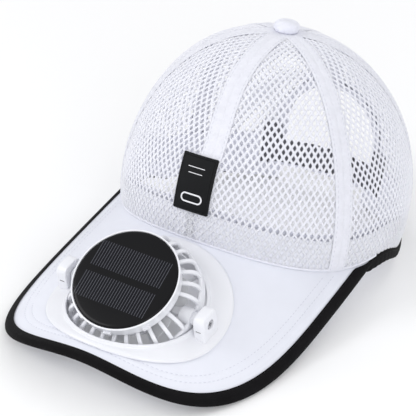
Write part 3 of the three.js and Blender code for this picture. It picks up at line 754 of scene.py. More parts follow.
class CapSizes(bpy.types.PropertyGroup):
    """Sizes of the cap's cloth work."""
    net_across: FloatProperty(name="Net pitch across", description="From hole to hole along a row",
                              default=0.0044, unit="LENGTH", precision=4)
    net_up: FloatProperty(name="Net pitch up", description="From hole to hole up a column",
                          default=0.0065, unit="LENGTH", precision=4)
    hole_across: FloatProperty(name="Hole width", description="Width of one hole of the net",
                               default=0.00212, unit="LENGTH", precision=4)
    hole_up: FloatProperty(name="Hole height", description="Height of one hole of the net",
                           default=0.00335, unit="LENGTH", precision=4)
    yarn: FloatProperty(name="Net thickness", description="Thickness of the net cloth",
                        default=0.0011, unit="LENGTH", precision=4)
    front_band: FloatProperty(name="Front band", description="Width of the band on the front seam",
                              default=0.0142, unit="LENGTH", precision=4)
    side_band: FloatProperty(name="Side band", description="Width of the bands on the other seams",
                             default=0.0122, unit="LENGTH", precision=4)
    stitch: FloatProperty(name="Stitch", description="Length of one stitch",
                          default=0.0023, unit="LENGTH", precision=4)


class FanSizes(bpy.types.PropertyGroup):
    """Sizes of the fan head's details."""
    ribs: IntProperty(name="Ribs", description="Places for ribs round the cage", default=28, min=8, max=60)
    blades: IntProperty(name="Blades", description="Blades of the impeller", default=7, min=3, max=12)
    blade_thick: FloatProperty(name="Blade thickness", description="Thickness of a blade at its root",
                               default=0.0013, unit="LENGTH", precision=4)
    cell_lines: IntProperty(name="Collector lines", description="Fine lines across the solar cells",
                            default=28, min=4, max=60)
    spokes: IntProperty(name="Guard spokes", description="Spokes of the guard below the fan", default=8,
                        min=4, max=24)


class CapColours(bpy.types.PropertyGroup):
    """Colours of the cap."""
    net: FloatVectorProperty(name="Net", description="Colour of the net yarn",
                             subtype="COLOR", size=4, min=0, max=1, default=linear(219, 220, 229))
    cloth: FloatVectorProperty(name="Bands", description="Colour of the bands, facing and button",
                               subtype="COLOR", size=4, min=0, max=1, default=linear(233, 234, 244))
    peak: FloatVectorProperty(name="Peak", description="Colour of the peak's cloth",
                              subtype="COLOR", size=4, min=0, max=1, default=linear(229, 231, 240))
    binding: FloatVectorProperty(name="Bindings", description="Colour of the black bindings",
                                 subtype="COLOR", size=4, min=0, max=1, default=linear(17, 16, 18))
    thread: FloatVectorProperty(name="Thread", description="Colour of the white sewing thread",
                                subtype="COLOR", size=4, min=0, max=1, default=linear(205, 206, 218))
    # Painted fill light: the black straps get a mid grey, which stands in for light in the shade inside the
    # back of the crown.
    strap: FloatVectorProperty(name="Straps", description="Colour of the straps at the back",
                               subtype="COLOR", size=4, min=0, max=1, default=linear(104, 104, 109))
    rubber: FloatVectorProperty(name="Label", description="Colour of the rubber label",
                                subtype="COLOR", size=4, min=0, max=1, default=linear(19, 20, 22))
    print_white: FloatVectorProperty(name="Label outline", description="Colour of the outline on the label",
                                     subtype="COLOR", size=4, min=0, max=1, default=linear(232, 232, 236))
    plastic: FloatVectorProperty(name="Plastic", description="Colour of the moulded fan parts",
                                 subtype="COLOR", size=4, min=0, max=1, default=linear(232, 233, 238))
    blades: FloatVectorProperty(name="Blades", description="Colour of the impeller and the motor",
                                subtype="COLOR", size=4, min=0, max=1, default=linear(214, 215, 218))
    glaze: FloatVectorProperty(name="Solar face", description="Colour of the solar disc",
                               subtype="COLOR", size=4, min=0, max=1, default=linear(17, 17, 19))
    cell_line: FloatVectorProperty(name="Collector lines", description="Colour of the cells' fine lines",
                                   subtype="COLOR", size=4, min=0, max=1, default=linear(92, 94, 100))


def cap_sizes():
    """The cap's sizes in millimetres."""
    sizes = bpy.context.scene.cap_sizes
    names = ("net_across", "net_up", "hole_across", "hole_up", "yarn", "front_band", "side_band", "stitch")
    return {name: getattr(sizes, name) * 1000 for name in names}


# Pieces


class MakeNet(bpy.types.Operator):
    """Makes the six net panels of the crown, strand by strand"""
    bl_idname = "cap.make_net"
    bl_label = "Net panels"

    def execute(self, context):
        sizes = cap_sizes()
        names = {30: "front_left", 90: "side_left", 150: "back_left",
                 -30: "front_right", -90: "side_right", -150: "back_right"}
        for middle, name in names.items():
            skin = net_panel(middle, sizes)
            make(f"net_{name}", skin, "net", "cap", [f"panel_{name}"], 75, weld=False)
        return {"FINISHED"}


def gore_table(middle):
    """Climb, radius and way up the middle line of a panel."""
    climbs = np.linspace(0, tip_climb(), 500)
    return climbs, crown_radius(middle, climbs), lengths(crown_face(middle, climbs))


def gore_place(middle, table, flat):
    """Angle and climb of flat places on a panel, measured across its middle line and up it."""
    climbs, radii, reach = table
    climb = np.interp(flat[..., 1], reach, climbs)
    radius = np.interp(flat[..., 1], reach, radii)
    return middle + np.degrees(flat[..., 0] / radius), climb


def arch_distance(points):
    """How far a point of the back lies outside the arch's edge."""
    x, z = np.abs(points[..., 0]), points[..., 2]
    return np.where(z < ARCH_SPRING, x - ARCH_HALF, np.hypot(x, z - ARCH_SPRING) - ARCH_HALF)


def net_cells(middle, table, sizes):
    """Middles of the net's cells on a flat panel, as far as the bands, the button and the arch."""
    climbs, radii, reach = table
    across, up = sizes["net_across"], sizes["net_up"]
    half = int(CROWN_X / across) + 1
    columns = np.arange(-half, half + 1)
    rows = range(int(reach[-1] / (up / 2)) + 1)
    cells = np.concatenate([
        np.stack([(columns + 0.5 * (row % 2)) * across, np.full(len(columns), row * up / 2)], -1)
        for row in rows
    ])
    radius = np.interp(cells[:, 1], reach, radii)
    edge = np.radians(GORE_TURN / 2) * radius
    limit = edge - sizes["side_band"] / 2 + NET_TUCK
    if abs(middle) < GORE_TURN:
        bow = seam_bow(np.interp(cells[:, 1], reach, climbs)) * -np.sign(middle)
        below_label = cells[:, 1] < NET_FRONT_OPEN
        covered = np.where(below_label, across * NET_FRONT_TUCK, sizes["front_band"] / 2)
        limit = np.where(cells[:, 0] * middle < 0, edge + bow - covered, limit)
    keep = (np.abs(cells[:, 0]) < limit + across * 0.75) & (radius > NET_INNER)
    if abs(middle) > 2 * GORE_TURN:
        keep &= arch_distance(crown_face(*gore_place(middle, table, cells))) > 1.2
    return cells[keep]


def cell_rings(sizes):
    """One cell of the net: rings from its rim over the strand and down into the hole, with their depths."""
    across, up = sizes["net_across"], sizes["net_up"]
    corners = np.array([[across / 2, 0], [0, up / 2], [-across / 2, 0], [0, -up / 2]])
    steps = np.array([[0], [1 / 3], [2 / 3]])
    rim = np.concatenate([a + (b - a) * steps for a, b in zip(corners, np.roll(corners, -1, 0))])
    turn = np.arctan2(rim[:, 1] / up, rim[:, 0] / across)
    power = 2 / 1.4
    hole = np.stack([
        sizes["hole_across"] / 2 * np.sign(np.cos(turn)) * np.abs(np.cos(turn)) ** power,
        sizes["hole_up"] / 2 * np.sign(np.sin(turn)) * np.abs(np.sin(turn)) ** power,
    ], -1)
    strand = ((0.0, 1.0), (0.55, 0.78), (1.0, 0.0), (0.55, -0.78), (0.0, -1.0))
    flat = np.stack([rim + (hole - rim) * share for share, _ in strand])
    depth = np.stack([np.full(len(rim), YARN_DEPTH - sizes["yarn"] / 2 * level) for _, level in strand])
    return flat, depth


def net_panel(middle, sizes):
    """A panel's net. Cells share the points of their rims, so that the strands hold together."""
    table = gore_table(middle)
    cells = net_cells(middle, table, sizes)
    ring_flat, ring_depth = cell_rings(sizes)
    rings, k = ring_depth.shape
    flat = (ring_flat[None] + cells[:, None, None, :]).reshape(-1, 2)
    depth = np.tile(ring_depth.reshape(-1), len(cells))
    flat[:, 1] = np.clip(flat[:, 1], 0.05, table[2][-1])
    # Points in the same 0.002 mm step are one point
    keys = np.round(np.column_stack([flat * 500, depth * 500])).astype(np.int64)
    _, first, back = np.unique(keys, axis=0, return_index=True, return_inverse=True)
    places = back.reshape(len(cells), rings, k)
    turned = np.roll(places, -1, 2)
    quads = np.stack([places[:, :-1], turned[:, :-1], turned[:, 1:], places[:, 1:]], -1).reshape(-1, 4)
    whole = (np.diff(np.sort(quads, axis=1), axis=1) > 0).all(1)
    points = crown_point(*gore_place(middle, table, flat[first]), depth[first])
    skin = Skin()
    skin.add(points, [tuple(quad) for quad in quads[whole].tolist()], flat[first])
    return skin


class MakeBands(bpy.types.Operator):
    """Makes the bands over the seams, with their stitches, and the white facing inside the hem"""
    bl_idname = "cap.make_bands"
    bl_label = "Seam bands and facing"

    def execute(self, context):
        sizes = cap_sizes()
        tapes = {0: "front", 60: "left_front", -60: "right_front",
                 120: "left_back", -120: "right_back", 180: "back"}
        for angle, name in tapes.items():
            wide = sizes["front_band"] if angle == 0 else sizes["side_band"]
            band, threads = seam_band(angle, wide, sizes["stitch"])
            make(f"seam_band_{name}", band, "cloth", "cap", [f"seam_tape_{name}"], 60)
            make(f"seam_stitches_{name}", threads, "white thread", "cap", weld=False)
        facing = Skin()
        section = fill_line(rounded(0.2, FACING_HIGH, FACING_DEPTH, FACING_DEPTH + 0.6, 0.28, 2), 2.6)
        facing.sweep_band(np.linspace(-BAND_END, BAND_END, 181), section)
        make("hem_facing_cloth", facing, "cloth", "cap", ["hem_facing"], 60)
        fold = Skin()
        section = fill_line(rounded(0.12, 1.7, -0.35, 1.2, 0.3, 2), 0.8)
        fold.sweep_band(np.linspace(-FADE_FROM - 3, FADE_FROM + 3, 161), section)
        make("hem_front_fold", fold, "cloth", "cap", crease=60)
        return {"FINISHED"}


def seam_band(angle, wide, stitch):
    """An outer and an inner strip along one seam, with the net held between them."""
    low = 0.0
    if angle == 180:
        arch_top = ARCH_SPRING + ARCH_HALF + 3.4
        low = float(climb_where(lambda climb: crown_face(180.0, climb)[..., 2] < arch_top, ()))
    outer_from, sewn_from = (FRONT_BAND_FROM, FRONT_BAND_FROM + 1) if angle == 0 else (low, low)
    climbs = np.linspace(low, tip_climb(), 110)
    radius = crown_radius(angle, climbs)
    half = np.minimum(wide / 2, np.tan(math.radians(GORE_TURN / 2)) * radius - 0.08)
    bow = seam_bow(climbs) * (angle == 0)
    right = np.array(BAND_SECTION)
    across, high = np.concatenate([right[:0:-1] * [-1, 1], right]).T
    shares = np.concatenate([across, across[-2:0:-1]])
    turn = angle + np.degrees((shares[None] * half[:, None] + bow[:, None]) / radius[:, None])
    strips, threads = Skin(), Skin()
    for face, back, rows in (
        (-high * BAND_FOLD, 0.1, climbs >= outer_from),
        (1.0 + high * BAND_FOLD, 0.98, climbs >= low),
    ):
        depth = np.concatenate([face, np.full(len(face) - 2, back)])
        strips.sweep(crown_point(turn, climbs[:, None], depth[None])[rows])
    edge = max(wide / 2 - 1.6, 1)
    rows = (half > edge + 0.4) & (climbs >= sewn_from)
    for side in (-1, 1):
        seam_turn = angle + np.degrees((side * edge + bow[rows]) / radius[rows])
        line = crown_point(seam_turn, climbs[rows], np.full(rows.sum(), -0.33))
        threads.sew(line, crown_normal(seam_turn, climbs[rows]), stitch, 0.9, 0.34)
    return strips, threads


class MakeHem(bpy.types.Operator):
    """Makes the sweatband inside the hem and the binding below it"""
    bl_idname = "cap.make_hem"
    bl_label = "Sweatband and hem binding"

    def execute(self, context):
        stitch = cap_sizes()["stitch"]
        band, threads = sweatband(stitch)
        make("sweatband_cloth", band, "cloth", "cap", ["sweatband"], 60)
        make("sweatband_stitches", threads, "white thread", "cap", weld=False)
        for side, name in ((1, "left"), (-1, "right")):
            skin, threads = hem_binding(side, stitch)
            make(f"hem_fold_{name}", skin, "binding", "cap", [f"hem_binding_{name}"], 60)
            make(f"hem_stitches_{name}", threads, "black thread", "cap", weld=False)
        return {"FINISHED"}


def sweatband(stitch):
    """The band inside the hem. Behind the peak it also covers the inside of the hem's binding."""
    angles = np.linspace(-BAND_END, BAND_END, 221)
    turns = np.abs(angles)[:, None]
    section = fill_line(rounded(0.3, SWEAT_HIGH, SWEAT_DEPTH, SWEAT_DEPTH + 1.2, 0.55, 3), 1.6)
    height, depth = section[:, 0], section[:, 1]
    ends = np.clip((BAND_END - 0.5 - turns) / 4, 0, 1) * (turns > FADE_FROM - 1.5)
    hang = (SWEAT_HANG + SWEAT_DEEPER * near_peak_end(turns)) * ends * np.clip(1 - height / 5, 0, 1)[None]
    aside = 0.35 * (hang > 0.5)
    inner = depth > SWEAT_DEPTH + 0.6
    swell = 0.9 * np.sin(np.clip(height / SWEAT_HIGH, 0, 1) * math.pi) * inner
    ripple = 0.12 * np.sin(np.radians(angles[:, None]) * 46) * inner[None]
    band, threads = Skin(), Skin()
    band.sweep(band_point(angles[:, None], height[None] - hang, (depth + swell)[None] + ripple + aside))
    tail = fill_line(rounded(-6.2, 4.1, 3.2, 4.3, 0.3, 2), 1.2)
    for side in (-1, 1):
        band.sweep_band(side * np.linspace(136, 158.3, 46), tail)
    for level in (2.2, SWEAT_HIGH - 2.2):
        line = band_point(angles, level, SWEAT_DEPTH + 1.45)
        climbs = climb_above_hem(angles, level)
        threads.sew(line, -crown_normal(angles, climbs), stitch, 1.0, 0.4)
    return band, threads


def hem_binding(side, stitch):
    """The black binding below one side of the hem, from the peak's end to the arch."""
    end = 180 - math.degrees(math.asin(ARCH_HALF / CROWN_X))
    turns = np.linspace(FADE_FROM - 1.2, end - 0.3, 110)
    angles = side * turns
    section = fill_line(rounded(-HEM_HANG, 0.6, -0.85, 3.05, 1.3, 4), 1.2)
    height, depth = section[:, 0], section[:, 1]
    below = np.clip(-height / HEM_HANG, 0, 1)
    pucker = 0.13 * np.sin(turns[:, None] * 1.9) * np.clip(-height / 3, 0, 1)[None]
    deeper = HEM_DEEPER * near_peak_end(turns[:, None]) * below[None]
    bulge = 0.25 * np.sin(below * math.pi) * np.sign(depth - 1.1)
    skin, threads = Skin(), Skin()
    skin.sweep(band_point(angles[:, None], height[None] - deeper, (depth + bulge)[None] + pucker))
    line = band_point(angles, np.full(len(turns), -0.9), np.full(len(turns), -1.0))
    threads.sew(line, crown_normal(angles, 0 * angles), stitch, 0.9, 0.4)
    return skin, threads


class MakeBackOpening(bpy.types.Operator):
    """Makes the binding round the arch at the back, and the two straps below it"""
    bl_idname = "cap.make_back_opening"
    bl_label = "Back opening and straps"

    def execute(self, context):
        sizes = cap_sizes()
        skin, threads = arch_fold(sizes["stitch"])
        make("arch_fold", skin, "cloth", "cap", ["arch_binding"], 60)
        make("arch_stitches", threads, "white thread", "cap", weld=False)
        for side, name, depth in ((1, "left", 3.5), (-1, "right", 5.1)):
            skin, threads = back_strap(side, depth, sizes["stitch"])
            make(f"strap_{name}_webbing", skin, "strap", "cap", [f"strap_{name}"], 60)
            make(f"strap_{name}_stitches", threads, "black thread", "cap", weld=False)
            edge = Skin()
            section = rounded(STRAP_EDGE_LOW, STRAP_EDGE_HIGH, depth - 0.2, depth + 1.25, 0.3, 2)
            edge.sweep_band(180 - side * np.linspace(-9, 27, 60), section)
            make(f"strap_{name}_edge", edge, "cloth", "cap", crease=60)
        return {"FINISHED"}


def arch_path():
    """Up one leg of the arch, over its bow and down the other: ways out sideways and up, and heights."""
    bow = np.radians(np.linspace(0, 180, 61))
    leg = np.linspace(1.0, ARCH_SPRING, 20)[:-1]
    rows = [[1, 0, z] for z in leg]
    rows += [[math.cos(turn), math.sin(turn), ARCH_SPRING] for turn in bow]
    rows += [[-1, 0, z] for z in leg[::-1]]
    return np.array(rows)


def arch_place(path, reach):
    """Angle and climb of places at a reach from the arch's middle line."""
    return back_place(path[:, :1] * reach, path[:, 2:] + path[:, 1:2] * reach)


def arch_fold(stitch):
    """The white binding folded round the arch's edge."""
    path = arch_path()
    outer, inner, cloth = -0.3, 2.4, 0.7
    middle = (outer + inner) / 2
    fold = []
    for radius, order in (((inner - outer) / 2 + cloth, 1), ((inner - outer) / 2, -1)):
        leg = [(ARCH_BINDING * (1 - t) + 1.0 * t, middle - radius) for t in np.linspace(0, 1, 5)]
        nose = [(0.6 - 1.35 * math.sin(a) * radius / 2.05, middle - radius * math.cos(a))
                for a in np.radians(np.linspace(0, 180, 9))]
        back = [(ARCH_BINDING * t + 1.0 * (1 - t), middle + radius) for t in np.linspace(0, 1, 5)]
        fold += (leg + nose + back)[::order]
    fold = np.array(fold)
    skin, threads = Skin(), Skin()
    skin.sweep(crown_point(*arch_place(path, ARCH_HALF + fold[None, :, 0]), fold[None, :, 1]))
    angle, climb = (place[:, 0] for place in arch_place(path, np.array([[ARCH_HALF + ARCH_BINDING - 1.3]])))
    line = crown_point(angle, climb, np.full(len(path), outer - cloth - 0.05))
    threads.sew(line, crown_normal(angle, climb), stitch, 0.9, 0.34)
    return skin, threads


def back_strap(side, depth, stitch):
    """One strap, from inside the band, over the arch's leg and past the middle of the back."""
    past = math.degrees(22 / CROWN_X)
    tuck = math.degrees(math.asin(ARCH_HALF / CROWN_X)) + math.degrees(15 / CROWN_X)
    turns = np.linspace(180 - side * tuck, 180 + side * past, 90)
    from_root = np.radians(np.abs(turns - turns[0])) * CROWN_X
    from_tip = np.radians(np.abs(turns - turns[-1])) * CROWN_X
    corner = 5.0
    rounding = corner - np.sqrt(np.maximum(0, corner ** 2 - (corner - from_tip) ** 2))
    narrow = np.where(from_tip < corner, 1 - rounding / 10, 1)
    middle = (STRAP_LOW + STRAP_HIGH) / 2
    section = fill_line(rounded(STRAP_LOW, STRAP_HIGH, depth, depth + 1.05, 0.45, 3), 1.5)
    height = middle + (section[None, :, 0] - middle) * narrow[:, None]
    root_rise = (1 + 1.3 * np.clip((14 - from_root) / 1.5, 0, 1))[:, None]
    height = np.where(height > middle, middle + (height - middle) * root_rise, height)
    lay = section[None, :, 1] + 0.08 * np.sin(turns[:, None] * 1.3)
    skin, threads = Skin(), Skin()
    skin.sweep(band_point(turns[:, None], height, lay))
    row = turns[from_tip > 5]
    for level in (STRAP_LOW + 1.7, STRAP_HIGH - 1.7):
        line = band_point(row, np.full(len(row), level), np.full(len(row), depth - 0.02))
        threads.sew(line, crown_normal(row, climb_above_hem(row, level)), stitch, 0.9, 0.36)
    return skin, threads


class MakeButton(bpy.types.Operator):
    """Makes the cloth-covered button on top of the crown"""
    bl_idname = "cap.make_button"
    bl_label = "Top button"

    def execute(self, context):
        turns = np.linspace(0, 2 * math.pi, 72, endpoint=False)
        profile = np.array([
            (0.02, 127.4), (5.6, 127.4), (6.2, 128.3), (7.0, 128.6), (7.8, 129.2),
            (8.2, 130.2), (8.3, 131.3), (8.15, 132.5), (7.7, 133.5), (6.9, 134.3),
            (5.7, 134.9), (4.0, 135.3), (2.0, 135.5), (0.02, 135.55),
        ])
        pleat = 1 + 0.012 * np.cos(turns * 12)[:, None] * np.clip((131.5 - profile[:, 1]) / 3, 0, 1)[None]
        radius = profile[None, :, 0] * pleat
        sections = np.stack([
            radius * np.cos(turns)[:, None],
            radius * np.sin(turns)[:, None] + APEX_BACK,
            np.broadcast_to(profile[None, :, 1], radius.shape),
        ], -1)
        skin = Skin()
        skin.sweep(sections, loop=True)
        make("button_cover", skin, "cloth", "cap", ["top_button"], 60)
        return {"FINISHED"}


class MakePeak(bpy.types.Operator):
    """Makes the stiff peak with its stitched rows, and the black binding round its edge"""
    bl_idname = "cap.make_peak"
    bl_label = "Peak and its binding"

    def execute(self, context):
        sizes = cap_sizes()
        edge = peak_edge(170)
        skin, threads = peak_board(edge, sizes["stitch"])
        peak = make("peak_cover", skin, "peak", "cap", ["peak"], 50)
        hole = Skin()
        radius = COLLAR_OUT + 0.4
        low, high = -40, 60
        hole.turned([(0.01, low), (radius, low), (radius, high), (0.01, high)], 96, from_seat)
        cut_away(peak, hole)
        make("peak_stitches", threads, "white thread", "cap", weld=False)
        skin, threads = peak_fold(edge, sizes["stitch"])
        make("peak_binding_fold", skin, "binding", "cap", ["peak_binding"], 60)
        make("peak_binding_stitches", threads, "black thread", "cap", weld=False)
        return {"FINISHED"}


def edge_outward(edge):
    """The way out of the peak's edge at each of its points."""
    along = np.gradient(edge, axis=0)
    along /= np.linalg.norm(along, axis=1, keepdims=True)
    return np.stack([along[:, 1], -along[:, 0]], -1)


def peak_board(edge, stitch):
    """The cloth-covered board, dented along its two rows of stitches."""
    turns = np.radians(np.linspace(-FADE_FROM, FADE_FROM, len(edge)))
    inner = np.stack([(CROWN_X - 2) * np.sin(turns), -(CROWN_Y - 2) * np.cos(turns)], -1)
    span = np.linalg.norm(inner - edge, axis=1)
    across = [np.minimum(share * 18, span * share) for share in np.linspace(0, 1, 30)]
    start = across[-1]
    across += [start + (span - start) * share for share in np.linspace(0, 1, 26)[1:]]
    across = np.stack(across)
    flat = edge[None] + (inner - edge)[None] * (across / span[None])[..., None]
    away = across
    for point in edge:
        away = np.minimum(away, np.linalg.norm(flat - point, axis=-1))
    top = peak_top(flat[..., 0], flat[..., 1])
    dent = sum(0.28 * np.exp(-((away - row) / 0.7) ** 2) for row in PEAK_ROWS)
    pillow = 0.1 * np.exp(-((away - sum(PEAK_ROWS) / 2) / 1.0) ** 2)
    round_edge = 0.5 * np.exp(-(away / 0.8) ** 2)
    upper = np.stack([flat[..., 0], flat[..., 1], top - dent + pillow - round_edge], -1)
    lower = np.stack([flat[..., 0], flat[..., 1], top - PEAK_THICK + dent + round_edge], -1)
    skin, threads = Skin(), Skin()
    skin.sweep(np.concatenate([upper, lower[::-1]]).transpose(1, 0, 2))
    outward = edge_outward(edge)
    for row in PEAK_ROWS:
        line = edge - outward * row
        line = line[np.hypot(line[:, 0] / (CROWN_X + 1.5), line[:, 1] / (CROWN_Y + 1.5)) > 1]
        sew_peak(threads, line, -0.16, stitch * 0.8, 1.1, 0.36)
    return skin, threads


def sew_peak(threads, line, over, length, gap, thick):
    """Stitches along a line of the peak, above its upper face and below its lower one."""
    top = peak_top(line[:, 0], line[:, 1])
    up = np.tile([0.0, -PEAK_SLOPE, 1.0], (len(line), 1))
    threads.sew(np.column_stack([line, top + over]), up, length, gap, thick)
    threads.sew(np.column_stack([line, top - PEAK_THICK - over]), -up, length, gap, thick)


def peak_fold(edge, stitch):
    """The binding folded round the peak's edge. Its inner edge stops short of the crown."""
    outward = edge_outward(edge)
    outs = np.linspace(-BINDING_WIDE, 0, 60)
    places = edge[:, None] + outward[:, None] * outs[None, :, None]
    clear = np.hypot(places[..., 0] / (CROWN_X + 1.3), places[..., 1] / (CROWN_Y + 1.3)) > 1
    least = np.array([outs[row.argmax()] if row.any() else -0.2 for row in clear])
    half = PEAK_THICK / 2
    fold = []
    for shell, order in ((1.0, 1), (0.3, -1)):
        radius = half + shell
        leg = [(-BINDING_WIDE * (1 - t), radius) for t in np.linspace(0, 0.93, 14)]
        nose = [(-0.55 + (0.55 + shell) * math.sin(a), radius * math.cos(a))
                for a in np.radians(np.linspace(12, 168, 11))]
        back = [(-BINDING_WIDE * (1 - t), -radius) for t in np.linspace(0.93, 0, 14)]
        fold += (leg + nose + back)[::order]
    fold = np.array(fold)
    out = np.maximum(fold[None, :, 0], least[:, None])
    place = edge[:, None] + outward[:, None] * out[..., None]
    pucker = 0.07 * np.sin(lengths(edge) * 1.15)[:, None] * (np.abs(fold[:, 0] + 1.7) < 1.3)[None]
    swell = 0.15 * np.sin(np.clip((fold[:, 0] + BINDING_WIDE - 1.0) / 3, 0, 1) * math.pi)
    sign = np.sign(fold[:, 1])
    lift = (swell[None] + pucker) * sign[None] * (np.abs(fold[:, 1]) > half + 0.7)[None]
    z = peak_top(place[..., 0], place[..., 1]) - half + fold[None, :, 1] + lift
    skin, threads = Skin(), Skin()
    skin.sweep(np.concatenate([place, z[..., None]], -1))
    inset = np.maximum(-BINDING_WIDE + 0.9, least + 0.4)
    sew_peak(threads, edge + outward * inset[:, None], 0.96, stitch, 0.9, 0.4)
    return skin, threads


class MakeLabel(bpy.types.Operator):
    """Makes the rubber label on the front seam, with a bare raised outline"""
    bl_idname = "cap.make_label"
    bl_label = "Label"

    def execute(self, context):
        make("label_rubber_patch", label_patch(), "rubber", "cap", ["label_patch"], 50)
        make("label_outline", label_outline(), "print", "cap", ["label_capsule"], 50)
        return {"FINISHED"}


def label_point(across, up, depth):
    """A point of the label, across and up from its middle, on the front of the crown."""
    across, up, depth = np.broadcast_arrays(across, up, depth)
    c, s = math.cos(LABEL_LEAN), math.sin(LABEL_LEAN)
    goal = LABEL_MIDDLE + (up * c - across * s) * LABEL_RISE
    climb = climb_where(lambda level: crown_face(LABEL_SEAM, level)[..., 2] < goal, goal.shape)
    turn = LABEL_TURN + np.degrees((across * c + up * s) / crown_radius(LABEL_SEAM, climb))
    return crown_point(turn, climb, depth)


def label_patch():
    """The rubber patch, with rounded corners, a soft edge and a groove inside it."""
    half_x, half_y = LABEL_WIDE / 2, LABEL_HIGH / 2
    lines = []
    for half, rim, face, count in ((half_x, 0.84, 0.8, 25), (half_y, 0.88, 0.85, 35)):
        edge = np.linspace(rim, 1, 13)
        lines.append(half * np.concatenate([-edge[::-1], np.linspace(-face, face, count), edge]))
    x, y = np.meshgrid(*lines, indexing="ij")
    over_x = np.maximum(np.abs(x) - (half_x - LABEL_CORNER), 0)
    over_y = np.maximum(np.abs(y) - (half_y - LABEL_CORNER), 0)
    square = np.maximum(over_x, over_y)
    pull = square / np.maximum(np.hypot(over_x, over_y), 1e-6)
    x = np.sign(x) * (np.abs(x) - over_x * (1 - pull))
    y = np.sign(y) * (np.abs(y) - over_y * (1 - pull))
    inset = np.where(square > 0, LABEL_CORNER - square, np.minimum(half_x - np.abs(x), half_y - np.abs(y)))
    soft_edge = 0.55 * np.exp(-(inset / 0.4) ** 2)
    groove = 0.36 * np.exp(-((inset - 1.6) / 0.22) ** 2)
    sunk = 0.12 / (1 + np.exp(-(inset - 1.8) * 9))
    face = label_point(x, y, soft_edge + groove + sunk - LABEL_EDGE)
    back = label_point(x, y, -LABEL_BACK)
    n, k = x.shape
    places = np.arange(n * k).reshape(n, k)
    front = np.stack([places[:-1, :-1], places[1:, :-1], places[1:, 1:], places[:-1, 1:]], -1)
    quads = front.reshape(-1, 4).tolist()
    faces = [tuple(quad) for quad in quads]
    faces += [tuple(i + n * k for i in reversed(quad)) for quad in quads]
    border = np.concatenate([places[:-1, 0], places[-1, :-1], places[:0:-1, -1], places[0, :0:-1]]).tolist()
    for a, b in zip(border, border[1:] + border[:1]):
        faces.append((b, a, a + n * k, b + n * k))
    skin = Skin()
    sheet = np.concatenate([face.reshape(-1, 3), back.reshape(-1, 3)])
    skin.outward(sheet, faces, np.concatenate([np.stack([x, y], -1).reshape(-1, 2)] * 2))
    return skin


def label_outline():
    """A capsule-shaped ring and two plain bars, raised on the rubber."""
    skin = Skin()
    turns = np.linspace(0, 2 * math.pi, 72, endpoint=False)
    out = np.stack([np.cos(turns), np.sin(turns)], -1)
    middle, half_run, radius = -8.9, 4.4, 2.55
    half_wide, high = 0.52, 0.42
    shift = np.clip(np.cos(turns) * 40, -1, 1) * half_run
    ring = np.stack([shift + radius * np.cos(turns), middle + radius * np.sin(turns)], -1)
    profile = ((-1, 0), (-0.8, 0.75), (-0.3, 1), (0.3, 1), (0.8, 0.75), (1, 0))
    flat = np.stack([ring + out * share * half_wide for share, _ in profile], 1)
    lift = np.array([lift * high for _, lift in profile])
    skin.sweep(label_point(flat[..., 0], flat[..., 1], -LABEL_FACE - lift[None]), loop=True)
    bow = np.radians(np.linspace(0, 180, 7))
    for level, run in ((10.0, 6.0), (6.4, 5.0)):
        along = np.linspace(-run, run, 25)[:, None]
        end = np.minimum(1.0, (run - np.abs(along)) / 0.5 + 0.25)
        up = level + 0.26 * end * np.cos(bow)
        skin.sweep(label_point(along - 0.6, up, -LABEL_FACE - 0.34 * end * np.sin(bow)))
    return skin


class MakeFanSeat(bpy.types.Operator):
    """Makes the moulded flange with its collar, the ring under the peak, the pivot blocks and the screws"""
    bl_idname = "cap.make_fan_seat"
    bl_label = "Fan seat and pivots"

    def execute(self, context):
        make("flange_moulding", flange(), "plastic", "cap", ["fan_flange"], 35)
        make("retainer_ring", retainer(), "plastic", "cap", ["fan_retainer"], 35)
        for side, name in ((1, "left"), (-1, "right")):
            block = make(f"block_{name}", pivot_block(side), "plastic", "cap", [f"pivot_block_{name}"], 32)
            sink = Skin()
            rod(sink, ((side * (BLOCK_OUT - 2.2), 3.2), (side * (BLOCK_OUT + 3), 3.2)), from_seat, 32)
            rod(sink, ((side * (BLOCK_IN - 2), 1.9), (side * (BLOCK_OUT - 2.1), 1.9)), from_seat, 32)
            cut_away(block, sink)
            screw = make(f"screw_{name}", pivot_screw(side), "steel", "cap", [f"pivot_screw_{name}"], 35)
            for deep, high in ((0.8, 3.4), (3.4, 0.8)):
                slot = Skin()
                box(slot, side * (BLOCK_OUT - 0.2), 0, 0, 2.2, deep, high, from_seat)
                cut_away(screw, slot)
            # Painted shade: a thin near-black bar on the block's front stands in for the shade inside a slot
            # there.
            slot_shade = Skin()
            box(slot_shade, side * (BLOCK_IN + 3.4), -BLOCK_RADIUS + 0.1, -1.6, 3.4, 0.3, 0.5, from_seat)
            make(f"painted_slot_shade_{name}", slot_shade, "dark", "cap")
        return {"FINISHED"}


def on_peak(rows, turn):
    """Points of a profile of radii and heights above the peak, at one turn round the fan."""
    rows = np.array(rows)
    x, y = rows[:, 0] * math.cos(turn), rows[:, 0] * math.sin(turn)
    return np.stack([x, y, seat_ground(x, y) + rows[:, 1]], -1)


def flange_reach(turn):
    """How far the flange goes out. It is a little square, and shorter in front."""
    c, s = np.cos(turn), np.sin(turn)
    depth = np.where(s > 0, 57.0, 48.0)
    power = 2.15
    return (np.abs(c / 57.0) ** power + np.abs(s / depth) ** power) ** (-1 / power)


